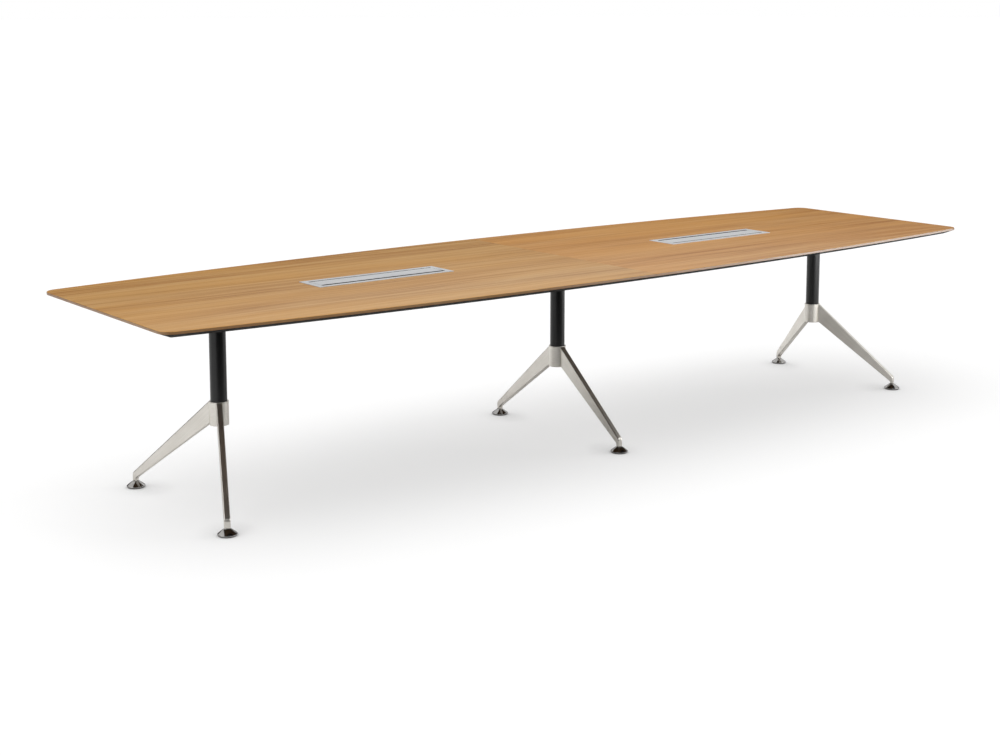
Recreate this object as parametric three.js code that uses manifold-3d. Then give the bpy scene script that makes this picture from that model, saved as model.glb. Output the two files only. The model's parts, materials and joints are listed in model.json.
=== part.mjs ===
// Boat-shaped conference table: a two-piece veneered top with two flush cable boxes,
// on three pedestals that each stand on two blade legs with levelling feet.
// Millimetres, +Z up. The origin is on the floor under the middle of the top, and +X runs along the table.
import * as THREE from 'three';
import { mergeVertices } from 'three/addons/utils/BufferGeometryUtils.js';
import Module from 'manifold-3d';

const wasm = await Module();
wasm.setup();

// Clearances
const FIT_GAP = 0.3;
const CUTOUT_CLEARANCE = 2.2;
const SEAM_GAP = 0.6;

// Top
const TABLE_LENGTH = 4000;
const END_WIDTH = 960;
const SIDE_BOW = 110;
const TABLE_HEIGHT = 745;
const CORNER_RADIUS = 50;
const DECK_THICKNESS = 10;
const DECK_EDGE_RADIUS = 2.5;
const CORE_THICKNESS = 18;
const CORE_REVEAL = 0.8;
const BEVEL_INSET = 46;
const BEVEL_CORNER_RADIUS = 6;

// Joining plates under the seam
const SEAM_PLATE_LENGTH = 180;
const SEAM_PLATE_WIDTH = 60;
const SEAM_PLATE_THICKNESS = 4;
const SEAM_PLATE_CORNER = 8;
const SEAM_PLATE_OFFSET = 340;
const SEAM_SCREW_PITCH = 40;
const SCREW_HOLE_DIAMETER = 6.5;
const SCREW_HOLE_EDGE = 20;

// Pedestals
const END_OVERHANG = 440;
const LEG_SPLAY_DEG = 25;
const TOP_PLATE_SIZE = 240;
const TOP_PLATE_THICKNESS = 6;
const TOP_PLATE_CORNER = 24;
const COLUMN_DIAMETER = 60;
const COLUMN_WALL = 3;
const COLUMN_PLUG = 20;
const HUB_WALL = 4.7;
const HUB_HEIGHT = 86;
const HUB_UNDERSIDE_HEIGHT = 283;
const HUB_EDGE = 1.2;
const HUB_WEB = 8;
const HUB_RECESS_STEP = 1;
const HUB_CAP_THICKNESS = 3;
const HUB_CAP_SPARE = 3.5;
const TIE_BOLT_DIAMETER = 12;
const TIE_BOLT_HEAD_WIDTH = 19;
const TIE_BOLT_HEAD_HEIGHT = 7.5;
const TIE_BOLT_THREAD = 16;

// Legs
const FOOT_REACH = 387;
const LEG_THICKNESS = 22;
const LEG_EDGE_RADIUS = 4;
const LEG_ROOT_TOP_DROP = 2;
const LEG_ROOT_BOTTOM_RISE = 1;
const POST_WIDTH = 14;
const POST_CROWN = 5;
const POST_INNER_HEIGHT = 10;
const POST_BEND = 8;

// Levelling feet
const FOOT_HEIGHT = 24;
const FOOT_STANDOFF = 1;
const FOOT_DIAMETER = 68;
const FOOT_NECK_DIAMETER = 25;
const FOOT_RIM_HEIGHT = 3;
const FOOT_SHOULDER_HEIGHT = 3;
const FOOT_SHOULDER_INSET = 3;
const FOOT_FLANK_CROWN = 0.5;
const FOOT_FLOOR = 7;
const FOOT_EDGE = 1;
const PAD_THICKNESS = 3;
const PAD_INSET = 2.5;
const STUD_DIAMETER = 8;
const STUD_IN_LEG = 23;
const STUD_HOLE_SPARE = 2;

// Cable boxes
const BOX_TO_END_PEDESTAL = 680;
const BOX_LENGTH = 600;
const BOX_WIDTH = 150;
const BEZEL_THICKNESS = 2;
const BEZEL_EDGE = 0.9;
const RAIL_WIDTH = 23;
const SKIRT_THICKNESS = 2.5;
const SKIRT_BELOW_TOP = 3;
const END_LENGTH = 25;
const END_WALL = 8;
const LEDGE_LENGTH = 6;
const LEDGE_HEIGHT = 8;
const LEDGE_SETBACK = 3;
const CABLE_SLOT = 16;
const HEEL_GAP = 9;
const LID_BORE_WALL = 1.2;
const LID_END_GAP = 2;
const LID_EDGE = 0.4;
const LID_FINGER_EDGE = 3;
const LID_SKIN = 3;
const LID_RIM = 12;
const LID_HEEL = 7;
const LID_OPEN_DEG = 100;
const HINGE_ROD_DIAMETER = 3;
const HINGE_ROD_SEAT = 5;
const TRAY_DEPTH = 85;
const TRAY_WALL = 1.5;
const TRAY_TOP_DROP = 7;
const CABLE_EXIT_WIDTH = 60;
const CABLE_EXIT_HEIGHT = 28;
const CABLE_EXIT_CORNER = 8;
const CABLE_EXIT_RISE = 8;

// Facets
const SIDE_STEPS = 10;
const CORNER_STEPS = 6;
const EDGE_STEPS = 3;
const HOLE_STEPS = 4;
const COLUMN_STEPS = 32;
const FOOT_STEPS = 24;
const ROD_STEPS = 14;

// Heights and places that follow from the sizes above
const TOP_UNDERSIDE = TABLE_HEIGHT - DECK_THICKNESS - CORE_THICKNESS;
const COLUMN_TOP = TOP_UNDERSIDE - TOP_PLATE_THICKNESS;
const SOCKET_RADIUS = COLUMN_DIAMETER / 2 + FIT_GAP;
const HUB_RADIUS = SOCKET_RADIUS + HUB_WALL;
const HUB_RECESS_RADIUS = SOCKET_RADIUS - HUB_RECESS_STEP;
const HUB_TOP = HUB_UNDERSIDE_HEIGHT + HUB_HEIGHT;
const HUB_WEB_UNDERSIDE = HUB_UNDERSIDE_HEIGHT + HUB_CAP_THICKNESS + HUB_CAP_SPARE + TIE_BOLT_HEAD_HEIGHT;
const TIE_BOLT_HOLE = TIE_BOLT_DIAMETER / 2 + FIT_GAP;
const COLUMN_FOOT = HUB_WEB_UNDERSIDE + HUB_WEB;
const POST_BOTTOM = FOOT_HEIGHT + FOOT_STANDOFF;
const STUD_HOLE_TOP = POST_BOTTOM + STUD_IN_LEG + STUD_HOLE_SPARE;
const STUD_HOLE = STUD_DIAMETER / 2 + FIT_GAP;
const STUD_BOTTOM = PAD_THICKNESS + FOOT_FLOOR;
const PEDESTAL_X = TABLE_LENGTH / 2 - END_OVERHANG;
const BOX_X = PEDESTAL_X - BOX_TO_END_PEDESTAL;
const BOX_OPENING_LENGTH = BOX_LENGTH - 2 * END_LENGTH;
const BOX_OPENING_WIDTH = BOX_WIDTH - 2 * RAIL_WIDTH;
const SKIRT_DEPTH = DECK_THICKNESS + CORE_THICKNESS + SKIRT_BELOW_TOP;
const TRAY_LENGTH = BOX_OPENING_LENGTH + 2 * (END_WALL + FIT_GAP + TRAY_WALL);
const TRAY_WIDTH = BOX_OPENING_WIDTH + 2 * (SKIRT_THICKNESS + FIT_GAP + TRAY_WALL);
const LID_LENGTH = BOX_OPENING_LENGTH - 2 * LID_END_GAP;
const LID_BORE = HINGE_ROD_DIAMETER / 2 + FIT_GAP;
const LID_THICKNESS = 2 * (LID_BORE + LID_BORE_WALL);
const LID_FRONT_Y = BOX_OPENING_WIDTH / 2 - CABLE_SLOT;
const LID_HEEL_Y = HEEL_GAP - BOX_OPENING_WIDTH / 2;
const LID_UNDERSIDE = BEZEL_THICKNESS - LID_THICKNESS;
const PIVOT_Y = LID_HEEL_Y + LID_HEEL;
const PIVOT_Z = BEZEL_THICKNESS - LID_THICKNESS / 2;

// Finishes
const oakVeneer = { color: 0xbe9262, roughness: 0.45, metalness: 0 };
const blackLacquer = { color: 0x1b1b1b, roughness: 0.5, metalness: 0 };
const blackPowderCoat = { color: 0x202020, roughness: 0.45, metalness: 0.3 };
const satinNickel = { color: 0xc8c5bc, roughness: 0.32, metalness: 1 };
const polishedChrome = { color: 0xd8d8d8, roughness: 0.08, metalness: 1 };
const brushedAluminium = { color: 0xd0d1d3, roughness: 0.35, metalness: 1 };
const zincSteel = { color: 0xa8a9ab, roughness: 0.4, metalness: 1 };
const blackNylon = { color: 0x161616, roughness: 0.6, metalness: 0 };

// Solids

function toSolid(geometry) {
  const bare = geometry.clone();
  bare.deleteAttribute('normal');
  bare.deleteAttribute('uv');
  const merged = mergeVertices(bare);
  const vertProperties = new Float32Array(merged.attributes.position.array);
  const triVerts = new Uint32Array(merged.index.array);
  return new wasm.Manifold(new wasm.Mesh({ numProp: 3, vertProperties, triVerts }));
}

function toGeometry(solid) {
  const mesh = solid.getMesh();
  const geometry = new THREE.BufferGeometry();
  geometry.setAttribute('position', new THREE.BufferAttribute(mesh.vertProperties, 3));
  geometry.setIndex(new THREE.BufferAttribute(mesh.triVerts, 1));
  geometry.computeVertexNormals();
  return geometry;
}

function cut(geometry, ...tools) {
  return toGeometry(tools.reduce((solid, tool) => solid.subtract(toSolid(tool)), toSolid(geometry)));
}

function join(geometry, ...others) {
  return toGeometry(others.reduce((solid, other) => solid.add(toSolid(other)), toSolid(geometry)));
}

function block(low, high) {
  const size = high.map((value, axis) => value - low[axis]);
  const centre = high.map((value, axis) => (value + low[axis]) / 2);
  return new THREE.BoxGeometry(...size).translate(...centre);
}

function uprightRod(radius, bottom, top, sides) {
  const rod = new THREE.CylinderGeometry(radius, radius, top - bottom, sides);
  return rod.rotateX(Math.PI / 2).translate(0, 0, (top + bottom) / 2);
}

function lengthwiseRod(radius, from, to, y, z) {
  const rod = new THREE.CylinderGeometry(radius, radius, to - from, ROD_STEPS);
  return rod.rotateZ(Math.PI / 2).translate((from + to) / 2, y, z);
}

// A profile of [radius, height] pairs turned about the upright axis
function turned(profile, steps) {
  const points = profile.map(([radius, height]) => new THREE.Vector2(radius, height));
  return new THREE.LatheGeometry(points, steps).rotateX(Math.PI / 2);
}

function polygon(points) {
  return new THREE.Shape(points.map(([x, y]) => new THREE.Vector2(x, y)));
}

// A section drawn in the YZ plane, drawn out along X between two ends
function alongX(section, from, to) {
  const settings = { depth: to - from, bevelEnabled: false, curveSegments: HOLE_STEPS };
  const bar = new THREE.ExtrudeGeometry(section, settings);
  return bar.rotateX(Math.PI / 2).rotateZ(Math.PI / 2).translate(from, 0, 0);
}

function roundedRectangle(width, height, radius) {
  const shape = new THREE.Shape();
  const right = width / 2 - radius;
  const top = height / 2 - radius;
  shape.absarc(right, top, radius, 0, Math.PI / 2);
  shape.absarc(-right, top, radius, Math.PI / 2, Math.PI);
  shape.absarc(-right, -top, radius, Math.PI, 1.5 * Math.PI);
  shape.absarc(right, -top, radius, 1.5 * Math.PI, 2 * Math.PI);
  return shape;
}

// A flat plate with rounded corners and a screw hole at each given point
function screwPlate(length, width, corner, bottom, top, holePoints) {
  const shape = roundedRectangle(length, width, corner);
  for (const [x, y] of holePoints) {
    const hole = new THREE.Path();
    hole.absarc(x, y, SCREW_HOLE_DIAMETER / 2, 0, 2 * Math.PI, true);
    shape.holes.push(hole);
  }
  const settings = { depth: top - bottom, bevelEnabled: false, curveSegments: HOLE_STEPS };
  return new THREE.ExtrudeGeometry(shape, settings).translate(0, 0, bottom);
}

function named(name, geometry, finish) {
  const mesh = new THREE.Mesh(geometry, new THREE.MeshStandardMaterial(finish));
  mesh.name = name;
  return mesh;
}

// Top

function arc(centreX, centreY, radius, from, to, steps) {
  const points = [];
  for (let step = 0; step <= steps; step += 1) {
    const angle = from + ((to - from) * step) / steps;
    points.push(new THREE.Vector2(centreX + radius * Math.cos(angle), centreY + radius * Math.sin(angle)));
  }
  return points;
}

// Outline of the right half, counter-clockwise: a bowed long side runs into a rounded corner, a straight
// end and back again to the seam. An inset draws in every edge but the seam.
function halfTopOutline(inset) {
  const halfLength = TABLE_LENGTH / 2;
  const bowRadius = (halfLength ** 2 + SIDE_BOW ** 2) / (2 * SIDE_BOW);
  const bowCentreY = END_WIDTH / 2 + SIDE_BOW - bowRadius;
  const sideRadius = bowRadius - inset;
  const corner = Math.max(CORNER_RADIUS - inset, BEVEL_CORNER_RADIUS);
  const cornerX = halfLength - inset - corner;
  const cornerY = bowCentreY + Math.sqrt((sideRadius - corner) ** 2 - cornerX ** 2);
  const turnAngle = Math.atan2(cornerY - bowCentreY, cornerX);
  const seamAngle = Math.acos(SEAM_GAP / 2 / sideRadius);
  const back = [
    ...arc(cornerX, cornerY, corner, 0, turnAngle, CORNER_STEPS),
    ...arc(0, bowCentreY, sideRadius, turnAngle, seamAngle, SIDE_STEPS).slice(1),
  ];
  const front = back.map((point) => new THREE.Vector2(point.x, -point.y)).reverse();
  return [...front, ...back];
}

// A closed skin through outlines that have the same number of points, stacked upwards
function loft(levels) {
  const count = levels[0].outline.length;
  const positions = levels.flatMap(({ outline, z }) => outline.flatMap((point) => [point.x, point.y, z]));
  const topStart = count * (levels.length - 1);
  const index = [];
  for (let start = 0; start < topStart; start += count) {
    for (let here = 0; here < count; here += 1) {
      const next = (here + 1) % count;
      index.push(start + here, start + next, start + count + next);
      index.push(start + here, start + count + next, start + count + here);
    }
  }
  for (const [a, b, c] of THREE.ShapeUtils.triangulateShape(levels[0].outline, [])) {
    index.push(c, b, a);
  }
  for (const [a, b, c] of THREE.ShapeUtils.triangulateShape(levels.at(-1).outline, [])) {
    index.push(topStart + a, topStart + b, topStart + c);
  }
  const geometry = new THREE.BufferGeometry();
  geometry.setAttribute('position', new THREE.Float32BufferAttribute(positions, 3));
  geometry.setIndex(index);
  return geometry;
}

function boxCutout() {
  const halfLength = TRAY_LENGTH / 2 + CUTOUT_CLEARANCE;
  const halfWidth = TRAY_WIDTH / 2 + CUTOUT_CLEARANCE;
  const low = [BOX_X - halfLength, -halfWidth, TOP_UNDERSIDE - CUTOUT_CLEARANCE];
  return block(low, [BOX_X + halfLength, halfWidth, TABLE_HEIGHT + CUTOUT_CLEARANCE]);
}

// Veneered deck: an upright lipped edge with a rounded arris
function deckGeometry() {
  const levels = [{ outline: halfTopOutline(0), z: TABLE_HEIGHT - DECK_THICKNESS }];
  for (let step = 0; step <= EDGE_STEPS; step += 1) {
    const angle = (step / EDGE_STEPS) * (Math.PI / 2);
    const inset = DECK_EDGE_RADIUS * (1 - Math.cos(angle));
    const z = TABLE_HEIGHT - DECK_EDGE_RADIUS * (1 - Math.sin(angle));
    levels.push({ outline: halfTopOutline(inset), z });
  }
  return cut(loft(levels), boxCutout());
}

// Core board: its edge is cut back underneath in a long shallow bevel
function coreGeometry() {
  const levels = [
    { outline: halfTopOutline(BEVEL_INSET), z: TOP_UNDERSIDE },
    { outline: halfTopOutline(CORE_REVEAL), z: TABLE_HEIGHT - DECK_THICKNESS },
  ];
  return cut(loft(levels), boxCutout());
}

function topHalf(side) {
  const half = new THREE.Group();
  half.add(named(`deck_${side}`, deckGeometry(), oakVeneer));
  half.add(named(`core_${side}`, coreGeometry(), blackLacquer));
  return half;
}

// Flat steel plate across the seam, screwed to both halves
function seamPlate(name, y) {
  const bottom = TOP_UNDERSIDE - SEAM_PLATE_THICKNESS;
  const outerHole = SEAM_PLATE_LENGTH / 2 - SCREW_HOLE_EDGE;
  const innerHole = outerHole - SEAM_SCREW_PITCH;
  const holes = [-outerHole, -innerHole, innerHole, outerHole].map((x) => [x, 0]);
  const outline = [SEAM_PLATE_LENGTH, SEAM_PLATE_WIDTH, SEAM_PLATE_CORNER];
  const mesh = named(name, screwPlate(...outline, bottom, TOP_UNDERSIDE, holes), zincSteel);
  mesh.position.y = y;
  return mesh;
}

// Pedestals

function topPlateGeometry() {
  const hole = TOP_PLATE_SIZE / 2 - SCREW_HOLE_EDGE;
  const holes = [[hole, hole], [-hole, hole], [-hole, -hole], [hole, -hole]];
  return screwPlate(TOP_PLATE_SIZE, TOP_PLATE_SIZE, TOP_PLATE_CORNER, COLUMN_TOP, TOP_UNDERSIDE, holes);
}

// Column: a tube with a threaded plug in its foot
function columnGeometry() {
  const outer = COLUMN_DIAMETER / 2;
  const inner = outer - COLUMN_WALL;
  const plugTop = COLUMN_FOOT + COLUMN_PLUG;
  const profile = [
    [TIE_BOLT_HOLE, COLUMN_FOOT],
    [outer, COLUMN_FOOT],
    [outer, COLUMN_TOP],
    [inner, COLUMN_TOP],
    [inner, plugTop],
    [TIE_BOLT_HOLE, plugTop],
    [TIE_BOLT_HOLE, COLUMN_FOOT],
  ];
  return turned(profile, COLUMN_STEPS);
}

// Hub: a socket for the column above a web, and a recess for the bolt head below it
function hubGeometry() {
  const profile = [
    [TIE_BOLT_HOLE, HUB_WEB_UNDERSIDE],
    [HUB_RECESS_RADIUS, HUB_WEB_UNDERSIDE],
    [HUB_RECESS_RADIUS, HUB_UNDERSIDE_HEIGHT],
    [HUB_RADIUS - HUB_EDGE, HUB_UNDERSIDE_HEIGHT],
    [HUB_RADIUS, HUB_UNDERSIDE_HEIGHT + HUB_EDGE],
    [HUB_RADIUS, HUB_TOP - HUB_EDGE],
    [HUB_RADIUS - HUB_EDGE, HUB_TOP],
    [SOCKET_RADIUS, HUB_TOP],
    [SOCKET_RADIUS, COLUMN_FOOT],
    [TIE_BOLT_HOLE, COLUMN_FOOT],
    [TIE_BOLT_HOLE, HUB_WEB_UNDERSIDE],
  ];
  return turned(profile, COLUMN_STEPS);
}

function hubCapGeometry() {
  const radius = HUB_RECESS_RADIUS - FIT_GAP;
  const profile = [
    [0, HUB_UNDERSIDE_HEIGHT],
    [radius - HUB_EDGE, HUB_UNDERSIDE_HEIGHT],
    [radius, HUB_UNDERSIDE_HEIGHT + HUB_EDGE],
    [radius, HUB_UNDERSIDE_HEIGHT + HUB_CAP_THICKNESS],
    [0, HUB_UNDERSIDE_HEIGHT + HUB_CAP_THICKNESS],
  ];
  return turned(profile, COLUMN_STEPS);
}

function tieBoltGeometry() {
  const headCornerRadius = TIE_BOLT_HEAD_WIDTH / Math.sqrt(3);
  const headBottom = HUB_WEB_UNDERSIDE - TIE_BOLT_HEAD_HEIGHT;
  const head = uprightRod(headCornerRadius, headBottom, HUB_WEB_UNDERSIDE, 6);
  const shankBottom = headBottom + TIE_BOLT_HEAD_HEIGHT / 2;
  const shankTop = COLUMN_FOOT + TIE_BOLT_THREAD;
  return join(head, uprightRod(TIE_BOLT_DIAMETER / 2, shankBottom, shankTop, ROD_STEPS));
}

// Blade leg along +X: deep at the hub, tapering to a short upright post over the foot.
// Its root is hollowed to sit against the round hub.
function legGeometry() {
  const postOuter = FOOT_REACH + POST_WIDTH / 2;
  const postInner = FOOT_REACH - POST_WIDTH / 2;
  const outerTop = STUD_HOLE_TOP + POST_CROWN;
  const innerTop = POST_BOTTOM + POST_INNER_HEIGHT;
  const rootTop = HUB_TOP - LEG_ROOT_TOP_DROP;
  const rootBottom = HUB_UNDERSIDE_HEIGHT + LEG_ROOT_BOTTOM_RISE;
  const topSlope = (outerTop - rootTop) / (postOuter - HUB_RADIUS);
  const bottomSlope = (innerTop - rootBottom) / (postInner - HUB_RADIUS);
  const startX = HUB_RADIUS - LEG_THICKNESS / 2;
  const blade = new THREE.Shape();
  blade.moveTo(startX, rootBottom + bottomSlope * (startX - HUB_RADIUS));
  blade.lineTo(postInner, innerTop);
  blade.lineTo(postInner, POST_BOTTOM);
  blade.lineTo(postOuter, POST_BOTTOM);
  blade.lineTo(postOuter, outerTop - POST_BEND);
  blade.quadraticCurveTo(postOuter, outerTop, postOuter - POST_BEND, outerTop - topSlope * POST_BEND);
  blade.lineTo(startX, rootTop + topSlope * (startX - HUB_RADIUS));
  const settings = {
    depth: LEG_THICKNESS - 2 * LEG_EDGE_RADIUS,
    bevelThickness: LEG_EDGE_RADIUS,
    bevelSize: LEG_EDGE_RADIUS,
    bevelOffset: -LEG_EDGE_RADIUS,
    bevelSegments: EDGE_STEPS,
    curveSegments: CORNER_STEPS,
  };
  const flat = new THREE.ExtrudeGeometry(blade, settings);
  const upright = flat.rotateX(Math.PI / 2).translate(0, LEG_THICKNESS / 2 - LEG_EDGE_RADIUS, 0);
  const hubSeat = uprightRod(HUB_RADIUS + FIT_GAP, 0, TABLE_HEIGHT, COLUMN_STEPS);
  const studHole = uprightRod(STUD_HOLE, 0, STUD_HOLE_TOP, ROD_STEPS).translate(FOOT_REACH, 0, 0);
  return cut(upright, hubSeat, studHole);
}

// Chrome bell of a levelling foot: a nearly straight cone from the neck out to a low rim
function bellGeometry() {
  const neck = FOOT_NECK_DIAMETER / 2;
  const rim = FOOT_DIAMETER / 2;
  const rimTop = PAD_THICKNESS + FOOT_RIM_HEIGHT;
  const shoulder = rim - FOOT_SHOULDER_INSET;
  const shoulderTop = rimTop + FOOT_SHOULDER_HEIGHT;
  const profile = [
    [0, PAD_THICKNESS],
    [rim - FOOT_EDGE, PAD_THICKNESS],
    [rim, PAD_THICKNESS + FOOT_EDGE],
    [rim, rimTop],
    [shoulder, shoulderTop],
    [(neck + shoulder) / 2, (FOOT_HEIGHT + shoulderTop) / 2 + FOOT_FLANK_CROWN],
    [neck, FOOT_HEIGHT - FOOT_EDGE],
    [neck - FOOT_EDGE, FOOT_HEIGHT],
    [STUD_HOLE, FOOT_HEIGHT],
    [STUD_HOLE, STUD_BOTTOM],
    [0, STUD_BOTTOM],
  ];
  return turned(profile, FOOT_STEPS);
}

function padGeometry() {
  const radius = FOOT_DIAMETER / 2 - PAD_INSET;
  const profile = [
    [0, 0],
    [radius - FOOT_EDGE, 0],
    [radius, FOOT_EDGE],
    [radius, PAD_THICKNESS],
    [0, PAD_THICKNESS],
  ];
  return turned(profile, FOOT_STEPS);
}

function studGeometry() {
  return uprightRod(STUD_DIAMETER / 2, STUD_BOTTOM, POST_BOTTOM + STUD_IN_LEG, ROD_STEPS);
}

function legAndFoot(pedestalName, row, angle) {
  const group = new THREE.Group();
  group.add(named(`${pedestalName}_leg_${row}`, legGeometry(), satinNickel));
  const foot = new THREE.Group();
  foot.add(named(`${pedestalName}_foot_${row}_bell`, bellGeometry(), polishedChrome));
  foot.add(named(`${pedestalName}_foot_${row}_pad`, padGeometry(), blackNylon));
  foot.add(named(`${pedestalName}_foot_${row}_stud`, studGeometry(), zincSteel));
  foot.position.x = FOOT_REACH;
  group.add(foot);
  group.rotation.z = angle;
  return group;
}

// One pedestal. The splay turns both legs from straight across the table towards its end.
function pedestal(name, x, splay) {
  const group = new THREE.Group();
  group.add(named(`${name}_top_plate`, topPlateGeometry(), blackPowderCoat));
  group.add(named(`${name}_column`, columnGeometry(), blackPowderCoat));
  group.add(named(`${name}_hub`, hubGeometry(), satinNickel));
  group.add(named(`${name}_tie_bolt`, tieBoltGeometry(), zincSteel));
  group.add(named(`${name}_hub_cap`, hubCapGeometry(), blackNylon));
  group.add(legAndFoot(name, 'front', -Math.PI / 2 + splay));
  group.add(legAndFoot(name, 'back', Math.PI / 2 - splay));
  group.position.x = x;
  return group;
}

// Cable boxes. In a box's own frame the worktop is at height 0, the cable slot is towards +Y
// and the lid's hinge towards -Y.

// Bezel rail on the +Y side: a flange on the worktop with a skirt down through it
function railGeometry() {
  const inner = BOX_OPENING_WIDTH / 2;
  const outer = BOX_WIDTH / 2;
  const section = polygon([
    [inner, BEZEL_THICKNESS],
    [inner, -SKIRT_DEPTH],
    [inner + SKIRT_THICKNESS, -SKIRT_DEPTH],
    [inner + SKIRT_THICKNESS, 0],
    [outer, 0],
    [outer, BEZEL_THICKNESS - BEZEL_EDGE],
    [outer - BEZEL_EDGE, BEZEL_THICKNESS],
  ]);
  const halfLength = BOX_OPENING_LENGTH / 2 - FIT_GAP;
  return alongX(section, -halfLength, halfLength);
}

// How far in front of the hinge the lid's heel reaches when the lid stands open
function openHeelReach() {
  const angle = THREE.MathUtils.degToRad(LID_OPEN_DEG);
  return -LID_HEEL * Math.cos(angle) + (LID_THICKNESS / 2) * Math.sin(angle);
}

// Bezel end on the +X side: a wide flange, a wall that takes the hinge rod, and a ledge.
// The closed lid rests on the ledge, and the open lid's heel stops against its hinge end.
function endGeometry() {
  const inner = BOX_OPENING_LENGTH / 2;
  const outer = BOX_LENGTH / 2;
  const flangeOutline = (inset) => {
    const side = BOX_WIDTH / 2 - inset;
    const corners = [[inner, -side], [outer - inset, -side], [outer - inset, side], [inner, side]];
    return corners.map(([x, y]) => new THREE.Vector2(x, y));
  };
  const flange = loft([
    { outline: flangeOutline(0), z: 0 },
    { outline: flangeOutline(0), z: BEZEL_THICKNESS - BEZEL_EDGE },
    { outline: flangeOutline(BEZEL_EDGE), z: BEZEL_THICKNESS },
  ]);
  const wallSide = BOX_OPENING_WIDTH / 2 + SKIRT_THICKNESS;
  const wallTop = BEZEL_THICKNESS / 2;
  const wall = block([inner, -wallSide, -SKIRT_DEPTH], [inner + END_WALL, wallSide, wallTop]);
  const ledgeTop = LID_UNDERSIDE - FIT_GAP;
  const ledge = block(
    [inner - LEDGE_LENGTH, PIVOT_Y + openHeelReach() + FIT_GAP, ledgeTop - LEDGE_HEIGHT],
    [inner + END_WALL / 2, LID_FRONT_Y - LEDGE_SETBACK, ledgeTop],
  );
  const rodHoleEnd = inner + HINGE_ROD_SEAT + FIT_GAP;
  const rodHole = lengthwiseRod(LID_BORE, inner - FIT_GAP, rodHoleEnd, PIVOT_Y, PIVOT_Z);
  return cut(join(flange, wall, ledge), rodHole);
}

function mirroredInX(geometry) {
  const mirrored = geometry.clone().scale(-1, 1, 1);
  const corners = mirrored.index.array;
  for (let first = 0; first < corners.length; first += 3) {
    [corners[first], corners[first + 1]] = [corners[first + 1], corners[first]];
  }
  return mirrored;
}

// Lid: a plate with a finger edge at the slot, a relieved underside and a bore for its hinge rod
function lidGeometry() {
  const section = polygon([
    [LID_HEEL_Y, LID_UNDERSIDE],
    [LID_FRONT_Y - LID_FINGER_EDGE, LID_UNDERSIDE],
    [LID_FRONT_Y, LID_UNDERSIDE + LID_FINGER_EDGE],
    [LID_FRONT_Y, BEZEL_THICKNESS - LID_EDGE],
    [LID_FRONT_Y - LID_EDGE, BEZEL_THICKNESS],
    [LID_HEEL_Y + LID_EDGE, BEZEL_THICKNESS],
    [LID_HEEL_Y, BEZEL_THICKNESS - LID_EDGE],
  ]);
  const halfLength = LID_LENGTH / 2;
  const relief = block(
    [LID_RIM - halfLength, LID_HEEL_Y + 2 * LID_HEEL, LID_UNDERSIDE - FIT_GAP],
    [halfLength - LID_RIM, LID_FRONT_Y - LID_RIM, BEZEL_THICKNESS - LID_SKIN],
  );
  const bore = lengthwiseRod(LID_BORE, -BOX_LENGTH / 2, BOX_LENGTH / 2, PIVOT_Y, PIVOT_Z);
  return cut(alongX(section, -halfLength, halfLength), relief, bore);
}

function hingeRodGeometry() {
  const halfLength = BOX_OPENING_LENGTH / 2 + HINGE_ROD_SEAT;
  return lengthwiseRod(HINGE_ROD_DIAMETER / 2, -halfLength, halfLength, PIVOT_Y, PIVOT_Z);
}

// Sheet tray round the skirts, open at the top, with a way out for cables through each end
function trayGeometry() {
  const halfLength = TRAY_LENGTH / 2;
  const halfWidth = TRAY_WIDTH / 2;
  const shell = block([-halfLength, -halfWidth, -TRAY_DEPTH], [halfLength, halfWidth, -TRAY_TOP_DROP]);
  const inside = block(
    [TRAY_WALL - halfLength, TRAY_WALL - halfWidth, TRAY_WALL - TRAY_DEPTH],
    [halfLength - TRAY_WALL, halfWidth - TRAY_WALL, 0],
  );
  const exitShape = roundedRectangle(CABLE_EXIT_WIDTH, CABLE_EXIT_HEIGHT, CABLE_EXIT_CORNER);
  const exits = alongX(exitShape, -BOX_LENGTH / 2, BOX_LENGTH / 2);
  exits.translate(0, 0, CABLE_EXIT_RISE + CABLE_EXIT_HEIGHT / 2 - TRAY_DEPTH);
  return cut(shell, inside, exits);
}

function cableBox(side) {
  const box = new THREE.Group();
  box.add(named(`${side}_box_rail_slot`, railGeometry(), brushedAluminium));
  const hingeRail = named(`${side}_box_rail_hinge`, railGeometry(), brushedAluminium);
  hingeRail.rotation.z = Math.PI;
  box.add(hingeRail);
  box.add(named(`${side}_box_end_outer`, endGeometry(), brushedAluminium));
  box.add(named(`${side}_box_end_inner`, mirroredInX(endGeometry()), brushedAluminium));
  box.add(named(`${side}_box_lid`, lidGeometry(), brushedAluminium));
  box.add(named(`${side}_box_hinge_rod`, hingeRodGeometry(), zincSteel));
  box.add(named(`${side}_box_tray`, trayGeometry(), blackPowderCoat));
  box.position.set(BOX_X, 0, TABLE_HEIGHT);
  return box;
}

// Table: the left half is the right half turned half a turn about the middle

function tableHalf(side, turn) {
  const half = new THREE.Group();
  half.add(topHalf(side));
  half.add(cableBox(side));
  half.rotation.z = turn;
  return half;
}

const splay = THREE.MathUtils.degToRad(LEG_SPLAY_DEG);
const table = new THREE.Group();
table.add(tableHalf('left', Math.PI));
table.add(tableHalf('right', 0));
table.add(seamPlate('seam_plate_front', -SEAM_PLATE_OFFSET));
table.add(seamPlate('seam_plate_back', SEAM_PLATE_OFFSET));
table.add(pedestal('left', -PEDESTAL_X, -splay));
table.add(pedestal('middle', 0, 0));
table.add(pedestal('right', PEDESTAL_X, splay));

export default table;
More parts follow.
